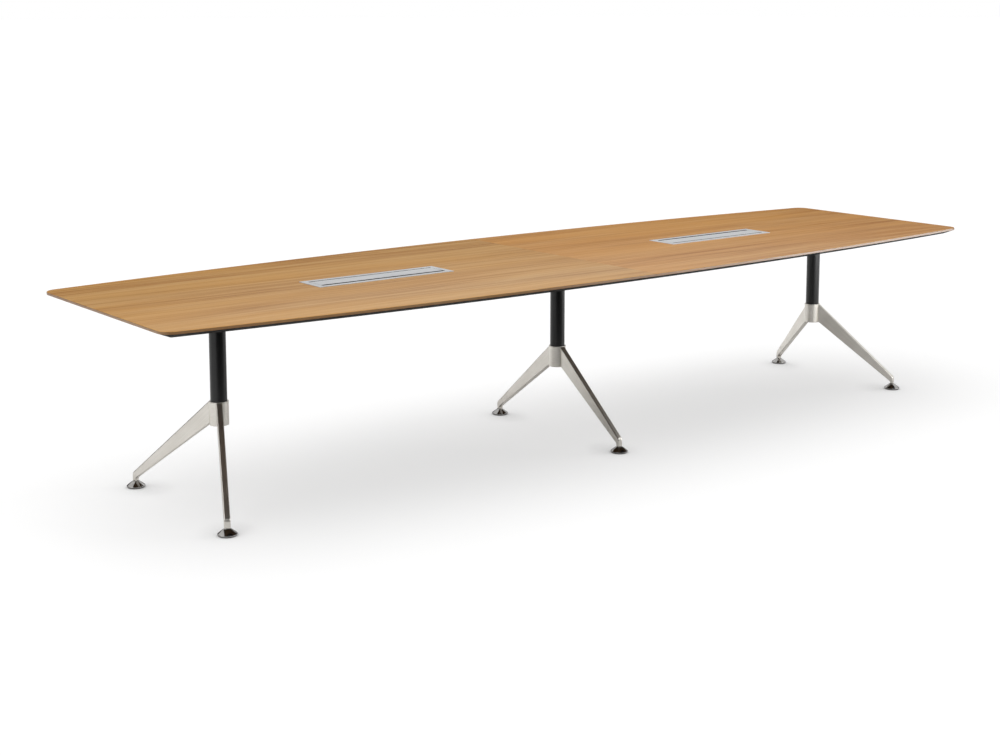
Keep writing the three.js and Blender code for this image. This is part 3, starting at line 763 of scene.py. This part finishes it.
def pedestalColumn():        # tube with a threaded plug in its foot
    low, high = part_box("middle_column")
    outer = radiusOf("middle_column")
    inner = outer - columnSet["wall"]
    plugTop = low.z + columnSet["plug"]
    hole = hubSet["boltHole"]
    profile = [(hole, low.z), (outer, low.z), (outer, high.z), (inner, high.z),
               (inner, plugTop), (hole, plugTop), (hole, low.z)]
    return smooth(turnPiece("pedestalColumn", profile, hubSet["steps"]))


def screwPlate(name, node, corner, holes):        # flat plate with rounded corners and a hole at each point
    low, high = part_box(node)
    piece = startBlock(name, low, high)
    pick(piece, "EDGE", edgeAlong("z"))
    bevelPicked(corner, plateSet["cornerSteps"])
    endEdit()
    softEdges(piece, plateSet["edge"], plateSet["edgeSteps"], plateSet["edgeOver"])
    through = 4 * (high.z - low.z)        # well past both faces
    for x, y in holes:
        drill = startRod("drill", plateSet["hole"], (x, y, (low.z + high.z) / 2), through)
        endEdit()
        carve(piece, drill)
    return smooth(piece)


def plateScrew():        # pan head with a cross recess, its bearing face at height 0
    head = screwSet["head"]
    height = screwSet["height"]
    shank, grip = screwSet["shank"], screwSet["grip"]
    profile = [(0, -height)]
    profile += roundOff((head - height, 0), height, -90, 0, screwSet["headSteps"])
    profile += [(shank, 0), (shank, grip), (0, grip)]
    piece = turnPiece("plateScrew", profile, screwSet["steps"])
    long = screwSet["slotLong"] / 2
    wide = screwSet["slotWide"] / 2
    deep = screwSet["slotDeep"] - height
    taper = screwSet["slotTaper"]
    for armX, armY in ((long, wide), (wide, long)):
        arm = startBlock("arm", (-armX, -armY, -2 * height), (armX, armY, deep))
        pick(arm, "FACE", lambda face: looks(face, z=1))
        bpy.ops.transform.resize(value=(taper, taper, 1))
        endEdit()
        carve(piece, arm)
    return smooth(piece)


def screwsAt(screw, name, spots, height, turn):        # one at each hole, each turned further than the last
    for count, (x, y) in enumerate(spots, 1):
        dress(copyPiece(screw, name + str(count), turn * count, (x, y, height)), zinc, "table")


def columnWeld(height):        # bead round the column's top, with the ripple of its passes
    deselectAll()
    bpy.ops.mesh.primitive_torus_add(
        major_radius=weldSet["radius"], minor_radius=weldSet["thick"],
        major_segments=weldSet["rounds"], minor_segments=weldSet["sides"], location=(0, 0, height))
    piece = startEdit(settle("columnWeld"))
    ripple = weldSet["rippleEvery"] * 2 * math.pi / weldSet["rounds"]
    pick(piece, "VERT", lambda vert: near((math.atan2(vert.co.y, vert.co.x) / ripple) % 1, 0))
    bpy.ops.transform.shrink_fatten(value=-weldSet["ripple"])
    trim(height, clear_outer=True)
    cleanUp()
    endEdit()
    return smooth(piece, weldSet["smooth"])


def pedestalUppers():        # gives back the screw, which the seam plates need too
    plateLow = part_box("middle_top_plate")[0].z
    reach = radiusOf("middle_top_plate") - plateSet["holeInset"]
    holes = [(x, y) for x in (-reach, reach) for y in (-reach, reach)]
    hub = pedestalHub()
    cap = hubCap()
    column = pedestalColumn()
    plate = screwPlate("topPlate", "middle_top_plate", plateSet["corner"], holes)
    weld = columnWeld(plateLow)
    screw = plateScrew()
    for pedestal in pedestals:
        spot = middleOfNode(pedestal + "_column")
        at = (spot.x, spot.y, 0)
        hubNickel = (satinNickel(pedestal + "HubNickel", "round", at), "satin_nickel")
        for source, part, finish in (
            (hub, "_hub", hubNickel), (cap, "_hub_cap", nylon), (column, "_column", powder),
            (plate, "_top_plate", powder),
        ):
            standIn(source, pedestal + part, finish, move=at)
        dress(copyPiece(weld, pedestal + "_column_weld", move=at), powder, "table")
        spots = [(spot.x + x, spot.y + y) for x, y in holes]
        screwsAt(screw, pedestal + "_plate_screw_", spots, plateLow, screwSet["plateTurn"])
    discard(hub, cap, column, plate, weld)
    return screw


screwSource = pedestalUppers()
print("pedestal uppers made:", len(pedestals))

# Blade legs

legSet = {
    "thick": 22 * mm, "edge": 4 * mm, "edgeSteps": 4, "start": 24 * mm, "hubRadius": 35 * mm,
    "seatGap": 0.3 * mm, "rootTop": 367 * mm, "rootLow": 284 * mm, "reach": 387 * mm, "post": 14 * mm,
    "outerTop": 55 * mm, "innerTop": 35 * mm, "bend": 8 * mm, "crook": 4 * mm, "bendSteps": 6,
    "studHole": 4.3 * mm, "studTop": 50 * mm, "smooth": 30,
}


def bladeLeg():        # along +X from the pedestal's axis: deep at the hub, tapering to a post over the foot
    thick = legSet["thick"] / 2
    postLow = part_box("middle_leg_front")[0].z
    reach, studTop = legSet["reach"], legSet["studTop"]
    postIn = reach - legSet["post"] / 2
    postOut = reach + legSet["post"] / 2
    hub, start = legSet["hubRadius"], legSet["start"]
    rootTop, rootLow = legSet["rootTop"], legSet["rootLow"]
    outerTop, innerTop = legSet["outerTop"], legSet["innerTop"]
    topSlope = (outerTop - rootTop) / (postOut - hub)
    lowSlope = (innerTop - rootLow) / (postIn - hub)
    piece = startBlock("bladeLeg", (start, -thick, rootLow), (postOut, thick, rootTop))
    cutAcross("x", postIn)
    for x, level, height in (
        (start, rootTop, rootTop + topSlope * (start - hub)),
        (postIn, rootTop, rootTop + topSlope * (postIn - hub)),
        (postOut, rootTop, outerTop),
        (start, rootLow, rootLow + lowSlope * (start - hub)),
        (postIn, rootLow, innerTop),
        (postOut, rootLow, innerTop),
    ):
        pick(piece, "VERT", lambda vert: near(vert.co.x, x) and near(vert.co.z, level))
        bpy.ops.transform.translate(value=(0, 0, height - level))
    pick(piece, "FACE", lambda face: looks(face, z=-1) and middleOf(face).x > postIn)
    pull(z=postLow - innerTop)
    pick(piece, "EDGE", edgeAt(x=postOut, z=outerTop))
    bevelPicked(legSet["bend"], legSet["bendSteps"])
    pick(piece, "EDGE", edgeAt(x=postIn, z=innerTop))
    bevelPicked(legSet["crook"], legSet["bendSteps"])
    cleanUp(flat=True)
    pick(piece, "EDGE", either(edgeAt(y=thick), edgeAt(y=-thick)))
    bevelPicked(legSet["edge"], legSet["edgeSteps"])
    cleanUp()
    endEdit()
    seat = startRod("seat", hub + legSet["seatGap"], (0, 0, rootTop), 2 * rootTop, sides=hubSet["steps"])
    endEdit()
    hole = startRod("hole", legSet["studHole"], (reach, 0, studTop / 2), studTop)
    endEdit()
    carve(piece, seat, hole)
    return smooth(piece, legSet["smooth"])


def bladeLegs():
    source = bladeLeg()
    fall = math.atan2(legSet["rootTop"] - legSet["outerTop"], legSet["reach"] - legSet["hubRadius"])
    for pedestal in pedestals:
        axis = middleOfNode(pedestal + "_column")
        at = (axis.x, axis.y, 0)
        for row in rows:
            foot = middleOfNode(pedestal + "_foot_" + row + "_bell")
            turn = math.atan2(foot.y - axis.y, foot.x - axis.x)
            nickel = satinNickel(pedestal + row.capitalize() + "LegNickel", "along", at, turn, fall)
            standIn(source, pedestal + "_leg_" + row, (nickel, "satin_nickel"), turn=turn, move=at)
    discard(source)


bladeLegs()
print("blade legs made:", len(pedestals) * len(rows))

# Top: veneered decks on bevelled cores, joined by plates at the seam

topSet = {
    "length": 4.0, "endWidth": 0.96, "sideBow": 0.11, "corner": 50 * mm, "lowCorner": 6 * mm,
    "seamGap": 0.6 * mm, "arris": 2.5 * mm, "arrisSteps": 5, "reveal": 0.8 * mm, "bevelInset": 46 * mm,
    "sideSteps": 36, "cornerSteps": 14, "closing": 0.2 * mm, "cutClearance": 2.2 * mm, "cutAbove": 100 * mm,
    "seamPlateCorner": 8 * mm, "seamHoles": (30 * mm, 70 * mm),
}


def traceHalf(inset, height):        # outline of the right half, drawn by spinning a point round its arcs
    halfLength = topSet["length"] / 2
    bow = topSet["sideBow"]
    bowRadius = (halfLength ** 2 + bow ** 2) / (2 * bow)
    bowMiddle = topSet["endWidth"] / 2 + bow - bowRadius
    side = bowRadius - inset
    corner = max(topSet["corner"] - inset, topSet["lowCorner"])
    cornerX = halfLength - inset - corner
    cornerY = bowMiddle + math.sqrt((side - corner) ** 2 - cornerX ** 2)
    cornerTurn = math.atan2(cornerY - bowMiddle, cornerX)
    seamTurn = math.acos(topSet["seamGap"] / 2 / side)
    seamY = bowMiddle + side * math.sin(seamTurn)
    sideTurn = seamTurn - cornerTurn

    def sweep(centreX, centreY, angle, steps):        # spin turns clockwise, so the axis points down
        bpy.ops.mesh.spin(steps=steps, angle=angle, center=(centreX, centreY, height), axis=(0, 0, -1))

    startPoint((topSet["seamGap"] / 2, -seamY, height))
    sweep(0, -bowMiddle, sideTurn, topSet["sideSteps"])
    sweep(cornerX, -cornerY, cornerTurn, topSet["cornerSteps"])
    drawOn(y=2 * cornerY)
    sweep(cornerX, cornerY, cornerTurn, topSet["cornerSteps"])
    sweep(0, bowMiddle, sideTurn, topSet["sideSteps"])
    drawOn(y=-2 * seamY)
    bpy.ops.mesh.select_linked()
    bpy.ops.mesh.remove_doubles(threshold=topSet["closing"])


def boxCutter():        # hole for the right cable box
    low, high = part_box("right_box_tray")
    spare = Vector((topSet["cutClearance"], topSet["cutClearance"], 0))
    cutter = startBlock("boxCutter", low - spare, high + spare + Vector((0, 0, topSet["cutAbove"])))
    endEdit()
    return cutter


def oakDeck():        # upright edge with a rounded arris, open for the cable box
    low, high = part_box("deck_right")
    atTop, atSeam = edgeAt(z=high.z), edgeAt(x=topSet["seamGap"] / 2)
    piece = startBare("oakDeck")
    traceHalf(0, low.z)
    bpy.ops.mesh.edge_face_add()
    pull(z=high.z - low.z)
    cleanUp()
    pick(piece, "EDGE", lambda edge: atTop(edge) and not atSeam(edge))
    bevelPicked(topSet["arris"], topSet["arrisSteps"])
    endEdit()
    carve(piece, boxCutter())
    return smooth(piece)


def blackCore():        # edge cut back underneath in a long shallow bevel
    low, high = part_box("core_right")
    piece = startBare("blackCore")
    traceHalf(topSet["bevelInset"], low.z)
    traceHalf(topSet["reveal"], high.z)
    bpy.ops.mesh.select_all(action="SELECT")
    bpy.ops.mesh.bridge_edge_loops()
    for height in (low.z, high.z):
        pick(piece, "EDGE", edgeAt(z=height))
        bpy.ops.mesh.edge_face_add()
    cleanUp()
    endEdit()
    carve(piece, boxCutter())
    return smooth(piece)


def tableTop():
    for source, part, finish in ((oakDeck(), "deck_", oak), (blackCore(), "core_", lacquer)):
        for side, turn in sideTurns:
            standIn(source, part + side, finish, turn=turn)
        discard(source)


def seamPlates(screw):
    low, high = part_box("seam_plate_front")
    y = (low.y + high.y) / 2
    holes = [(sign * x, y) for sign in (-1, 1) for x in topSet["seamHoles"]]
    source = screwPlate("seamPlate", "seam_plate_front", topSet["seamPlateCorner"], holes)
    for row, move in (("front", 0), ("back", -2 * y)):
        standIn(source, "seam_plate_" + row, zinc, move=(0, move, 0))
        spots = [(x, holeY + move) for x, holeY in holes]
        screwsAt(screw, "seam_screw_" + row + "_", spots, low.z, screwSet["seamTurn"])
    discard(source, screw)


tableTop()
seamPlates(screwSource)
print("top made")

# Cable boxes: the right one is modelled, the left one is the same turned half round

boxSet = {
    "bezelEdge": 0.9 * mm, "bezelSteps": 3, "skirt": 2.5 * mm, "fine": 0.25 * mm, "endWall": 8 * mm,
    "ledgeLong": 6 * mm, "ledgeTall": 8 * mm, "ledgeGap": 0.3 * mm, "ledgeFrom": -31.5 * mm,
    "ledgeSetback": 3 * mm, "rodHole": 1.8 * mm, "rodSeat": 5.3 * mm, "overcut": 1 * mm,
}
lidSet = {
    "edge": 0.4 * mm, "edgeSteps": 2, "finger": 3 * mm, "fingerSteps": 4, "skin": 3 * mm, "rim": 12 * mm,
    "heel": 14 * mm, "bore": 1.8 * mm,
}
rodSet = {"sides": 32, "chamfer": 0.4 * mm, "chamferSteps": 2}
traySet = {
    "wall": 1.5 * mm, "bend": 2.5 * mm, "bendSteps": 4, "edge": 0.4 * mm, "edgeSteps": 2, "edgeOver": 40,
    "exitWide": 60 * mm, "exitTall": 28 * mm, "exitCorner": 8 * mm, "exitSteps": 6, "exitRise": 8 * mm,
}


def hingeLine():        # where the right lid turns, from its joint
    joint = next(joint for joint in frame["joints"] if joint["name"] == "right_lid_hinge")
    return Vector(joint["pos_m"])


def bezelRail():        # flange on the worktop with a skirt down through it, on the slot's side
    low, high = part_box("right_box_rail_slot")
    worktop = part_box("deck_right")[1].z
    skirtSide = low.y + boxSet["skirt"]
    piece = startBlock("bezelRail", (low.x, low.y, worktop), high)
    cutAcross("y", skirtSide)
    pick(piece, "FACE", lambda face: looks(face, z=-1) and middleOf(face).y < skirtSide)
    pull(z=low.z - worktop)
    cleanUp(flat=True)
    pick(piece, "EDGE", edgeAt(y=high.y, z=high.z))
    bevelPicked(boxSet["bezelEdge"], boxSet["bezelSteps"])
    endEdit()
    softEdges(piece, boxSet["fine"])
    return piece


def bezelEnd():        # flange, wall for the hinge rod and a ledge under the lid, at the outer end
    low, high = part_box("right_box_end_outer")
    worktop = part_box("deck_right")[1].z
    lidLow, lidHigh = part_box("right_box_lid")
    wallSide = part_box("right_box_rail_slot")[0].y + boxSet["skirt"]
    inner = low.x + boxSet["ledgeLong"]
    wallEnd = inner + boxSet["endWall"]
    ledgeTop = lidLow.z - boxSet["ledgeGap"]
    ledgeLow = ledgeTop - boxSet["ledgeTall"]
    ledgeFrom = boxSet["ledgeFrom"]
    ledgeTo = lidHigh.y - boxSet["ledgeSetback"]
    atTop, atOpening = edgeAt(z=high.z), edgeAt(x=inner)
    piece = startBlock("bezelEnd", (inner, low.y, worktop), high)
    cutAcross("x", wallEnd)
    for side in (-wallSide, wallSide):
        cutAcross("y", side)
    pick(piece, "FACE", lambda face: looks(face, z=-1) and middleOf(face).x < wallEnd
         and abs(middleOf(face).y) < wallSide)
    pull(z=low.z - worktop)
    for height in (ledgeLow, ledgeTop):
        cutAcross("z", height)
    for y in (ledgeFrom, ledgeTo):
        cutAcross("y", y)
    pick(piece, "FACE", lambda face: looks(face, x=-1) and ledgeLow < middleOf(face).z < ledgeTop
         and ledgeFrom < middleOf(face).y < ledgeTo)
    pull(x=-boxSet["ledgeLong"])
    cleanUp(flat=True)
    pick(piece, "EDGE", lambda edge: atTop(edge) and not atOpening(edge))
    bevelPicked(boxSet["bezelEdge"], boxSet["bezelSteps"])
    endEdit()
    softEdges(piece, boxSet["fine"])
    pivot = hingeLine()
    seat, over = boxSet["rodSeat"], boxSet["overcut"]
    middle = (inner + seat / 2 - over, pivot.y, pivot.z)
    rodHole = startRod("rodHole", boxSet["rodHole"], middle, seat + 2 * over, lengthways)
    endEdit()
    carve(piece, rodHole)
    return piece


def mirrorEnd(source, middleX):        # the inner end is the outer one mirrored along the box
    piece = startEdit(copyPiece(source, "bezelEndInner"))
    bpy.ops.mesh.select_all(action="SELECT")
    bpy.ops.transform.mirror(
        orient_type="GLOBAL", constraint_axis=(True, False, False), center_override=(middleX, 0, 0))
    cleanUp()
    endEdit()
    return piece


def boxLid():        # finger edge at the slot, relieved underside and a bore for the rod
    low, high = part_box("right_box_lid")
    piece = startBlock("boxLid", low, high)
    pick(piece, "EDGE", edgeAt(y=high.y, z=low.z))
    bevelPicked(lidSet["finger"], lidSet["fingerSteps"])
    pick(piece, "EDGE", either(edgeAt(y=high.y, z=high.z), edgeAt(y=low.y, z=high.z)))
    bevelPicked(lidSet["edge"], lidSet["edgeSteps"])
    fromX, toX = low.x + lidSet["rim"], high.x - lidSet["rim"]
    fromY, toY = low.y + lidSet["heel"], high.y - lidSet["rim"]
    for axis, value in (("x", fromX), ("x", toX), ("y", fromY), ("y", toY)):
        cutAcross(axis, value)
    pick(piece, "FACE", lambda face: looks(face, z=-1) and fromX < middleOf(face).x < toX
         and fromY < middleOf(face).y < toY)
    pull(z=high.z - lidSet["skin"] - low.z)
    cleanUp(flat=True)
    endEdit()
    softEdges(piece, boxSet["fine"])
    boreLong = high.x - low.x + 4 * boxSet["overcut"]
    bore = startRod("bore", lidSet["bore"], hingeLine(), boreLong, lengthways)
    endEdit()
    carve(piece, bore)
    return piece


def hingeRod():        # ground rod with chamfered ends
    low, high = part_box("right_box_hinge_rod")
    piece = startRod(
        "hingeRod", (high.z - low.z) / 2, hingeLine(), high.x - low.x, lengthways, rodSet["sides"])
    pick(piece, "EDGE", either(edgeAt(x=low.x), edgeAt(x=high.x)))
    bevelPicked(rodSet["chamfer"], rodSet["chamferSteps"])
    endEdit()
    return piece


def cableTray():        # folded sheet, open at the top, with a way out through each end
    low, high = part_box("right_box_tray")
    wall, over = traySet["wall"], boxSet["overcut"]
    piece = startBlock("cableTray", low, high)
    pick(piece, "EDGE", edgeAlong("z"))
    bevelPicked(traySet["bend"], traySet["bendSteps"])
    pick(piece, "FACE", lambda face: looks(face, z=1))
    bpy.ops.mesh.inset(thickness=wall, use_even_offset=True)
    pull(z=low.z + wall - high.z)
    cleanUp()
    endEdit()
    softEdges(piece, traySet["edge"], traySet["edgeSteps"], traySet["edgeOver"])
    exitLow = low.z + traySet["exitRise"]
    exitHigh = exitLow + traySet["exitTall"]
    wide = traySet["exitWide"] / 2
    way = startBlock("way", (low.x - over, -wide, exitLow), (high.x + over, wide, exitHigh))
    pick(way, "EDGE", edgeAlong("x"))
    bevelPicked(traySet["exitCorner"], traySet["exitSteps"])
    endEdit()
    carve(piece, way)
    return piece


def cableBoxes():
    middleX = hingeLine().x
    rail = bezelRail()
    hingeRail = copyPiece(rail, "bezelRailHinge", math.pi, (2 * middleX, 0, 0))
    end = bezelEnd()
    parts = (
        (rail, "box_rail_slot", bezelAluminium),
        (hingeRail, "box_rail_hinge", bezelAluminium),
        (end, "box_end_outer", bezelAluminium),
        (mirrorEnd(end, middleX), "box_end_inner", bezelAluminium),
        (cableTray(), "box_tray", powder),
        (boxLid(), "box_lid", lidAluminium),
        (hingeRod(), "box_hinge_rod", zinc),
    )
    for source, part, finish in parts:
        smooth(source)
        for side, turn in sideTurns:
            body = side + "_lid" if part in ("box_lid", "box_hinge_rod") else "table"
            standIn(source, side + "_" + part, finish, body, turn)
        discard(source)


cableBoxes()
print("cable boxes made")

# Stage: floor, world, cards, lamps and camera

stageSet = {
    "floorSize": 400, "floorDrop": 0.3 * mm, "floorDiffuse": 0.42, "floorGlow": 0.64, "ambient": 0.3,
    "floorInMetal": 0.9, "floorGlowInMetal": 0.12,
    # the contact settings make a painted contact shadow that dims the floor's glow by the feet
    "contactReach": 0.12, "contactSamples": 4, "contactFrom": 0.5, "contactDim": 0.4,
}
wallSet = {
    "radius": 9, "tall": 3.2, "sides": 96, "dim": 0.01, "fade": (1.95, 2.5), "tilt": 0.12, "tiltFrom": 6,
}
canopySet = {"height": 4.5, "from": (-8, -5.5), "to": (4, -1), "dim": 0.05}
flagSet = {"middle": (-0.85, -1.2), "darkWide": 3.4, "wide": 4.6, "tall": 0.6, "dim": 0.02, "pale": 0.8}
stripSet = {"from": (-0.4, -1.3, 0.44), "to": (4.4, -1.3, 0.75), "fade": (-0.2, 1.1), "bright": 6}


def newCard(name, middle, wide, deep, turn=(0, 0, 0)):        # a flat sheet of the studio
    deselectAll()
    bpy.ops.mesh.primitive_plane_add(size=1, location=middle, rotation=turn)
    bpy.context.object.scale = (wide, deep, 1)
    return settle(name)


def coverStage(card, shaderOf):        # gives a stage piece the shader that shaderOf makes
    material = bpy.data.materials.new(card.name)
    material.use_nodes = True
    tree = material.node_tree
    tree.nodes.remove(tree.nodes["Principled BSDF"])
    feed(tree.nodes["Material Output"], "Surface", shaderOf(tree))
    card.data.materials.append(material)


def rayKinds(tree):        # seen by the camera, seen in gloss, seen through glass
    rays = Wire.node(tree, "ShaderNodeLightPath").socket.node.outputs
    return [Wire(rays[kind]) for kind in ("Is Camera Ray", "Is Glossy Ray", "Is Transmission Ray")]


def whiteFloor():        # shows white to the camera and in the metal, keeps the table's shadow, and has a painted contact shadow by the feet
    size = stageSet["floorSize"]

    def floorShader(tree):
        seen, mirrored, through = rayKinds(tree)
        matt = Wire.node(tree, "ShaderNodeBsdfDiffuse", None, {"Color": grey(stageSet["floorDiffuse"])})
        white = Wire.node(tree, "ShaderNodeBsdfDiffuse", None, {"Color": grey(stageSet["floorInMetal"])})
        paintwork = Wire.node(tree, "ShaderNodeMixShader", None, {0: mirrored, 1: matt, 2: white})
        settings = {"samples": stageSet["contactSamples"]}
        reach = {"Distance": stageSet["contactReach"]}
        clear = Wire.node(tree, "ShaderNodeAmbientOcclusion", settings, reach, "AO")
        paintedContactShadow = span(clear, stageSet["contactFrom"], 1, stageSet["contactDim"], 1)        # painted contact shadow: the floor's glow is dimmed by the feet
        bright = (seen + through) * paintedContactShadow * stageSet["floorGlow"] + mirrored * stageSet["floorGlowInMetal"]
        glow = Wire.node(tree, "ShaderNodeEmission", None, {"Color": bright})
        return Wire.node(tree, "ShaderNodeAddShader", None, {0: paintwork, 1: glow})

    coverStage(newCard("floor", (0, 0, -stageSet["floorDrop"]), size, size), floorShader)


def whiteWorld():        # white where it is seen, a lower even light where it only lights
    world = bpy.data.worlds.new("whiteWorld")
    world.use_nodes = True
    seen, mirrored, through = rayKinds(world.node_tree)
    sky = world.node_tree.nodes["Background"]
    sky.inputs["Color"].default_value = grey(1)
    feed(sky, "Strength", stageSet["ambient"] + (seen + mirrored + through) * (1 - stageSet["ambient"]))
    bpy.context.scene.world = world


def onlyInMetal(card, brightOf):        # a studio card that only glossy surfaces see
    coverStage(card, lambda tree: Wire.node(tree, "ShaderNodeEmission", None, {"Color": brightOf(tree)}))
    card.visible_camera = False
    card.visible_diffuse = False
    card.visible_shadow = False


def darkCanopy():        # the unlit ceiling over the camera's side
    (fromX, fromY), (toX, toY) = canopySet["from"], canopySet["to"]
    middle = ((fromX + toX) / 2, (fromY + toY) / 2, canopySet["height"])
    canopy = newCard("darkCanopy", middle, toX - fromX, toY - fromY)
    onlyInMetal(canopy, lambda tree: grey(canopySet["dim"]))


def dimWall():        # the studio's dim lower walls
    deselectAll()
    bpy.ops.mesh.primitive_cylinder_add(
        vertices=wallSet["sides"], radius=wallSet["radius"], depth=wallSet["tall"],
        location=(0, 0, wallSet["tall"] / 2), end_fill_type="NOTHING")

    def fade(tree):        # white comes down lower at the table's right end
        x, y, z = axes(place(tree))
        height = z + wallSet["tilt"] * (x - wallSet["tiltFrom"])
        return span(height, *wallSet["fade"], wallSet["dim"], 1)

    onlyInMetal(settle("dimWall"), fade)


def darkFlag():        # a dark card before the table, for the dark stripes in columns and hubs
    x, y = flagSet["middle"]
    wide, tall = flagSet["wide"], flagSet["tall"]

    def fade(tree):        # paler towards its ends
        across = abs(axes(place(tree))[0] - x)
        return span(across, flagSet["darkWide"] / 2, wide / 2, flagSet["dim"], flagSet["pale"])

    onlyInMetal(newCard("darkFlag", (x, y, tall / 2), wide, tall, upright), fade)


def stripLight():        # the low strip at the right that gleams along the front lipping
    low, high = Vector(stripSet["from"]), Vector(stripSet["to"])
    strip = newCard("stripLight", (low + high) / 2, high.x - low.x, high.z - low.z, upright)
    onlyInMetal(strip, lambda tree: span(axes(place(tree))[0], *stripSet["fade"], 0, stripSet["bright"]))


lampSet = {
    "overhead": {"strength": 1.63, "spread": 70, "azimuth": 120, "rise": 82, "inMetal": False},
    "left": {"strength": 0.7, "spread": 60, "azimuth": 180, "rise": 28, "inMetal": True},
    "rightFront": {"strength": 0.9, "spread": 24, "azimuth": -25, "rise": 12, "inMetal": True},
}


def softSun(name, strength, spread, azimuth, rise, inMetal):        # a wide lamp, seen in the metal or not
    turn = (math.radians(90 - rise), 0, math.radians(azimuth + 90))
    bpy.ops.object.light_add(type="SUN", rotation=turn)
    lamp = bpy.context.object
    lamp.name = name + "Light"
    lamp.data.energy = strength
    lamp.data.angle = math.radians(spread)
    lamp.visible_glossy = inMetal


cameraSet = {
    "place": (-4.2169, -5.0669, 1.7542), "pitchDown": 7.739, "heading": -37.712,
    "lens": 58.536, "sensor": 36, "shift": -0.15,
}


def photoCamera():
    turn = (math.radians(90 - cameraSet["pitchDown"]), 0, math.radians(cameraSet["heading"]))
    bpy.ops.object.camera_add(location=cameraSet["place"], rotation=turn)
    camera = bpy.context.object
    camera.data.sensor_width = cameraSet["sensor"]
    camera.data.lens = cameraSet["lens"]
    camera.data.shift_y = cameraSet["shift"]
    camera.data.clip_end = stageSet["floorSize"]
    bpy.context.scene.camera = camera


whiteFloor()
whiteWorld()
dimWall()
darkCanopy()
darkFlag()
stripLight()
for lampName, settings in lampSet.items():
    softSun(lampName, **settings)
photoCamera()
bpy.context.scene.view_settings.view_transform = "Standard"
print("stage set")
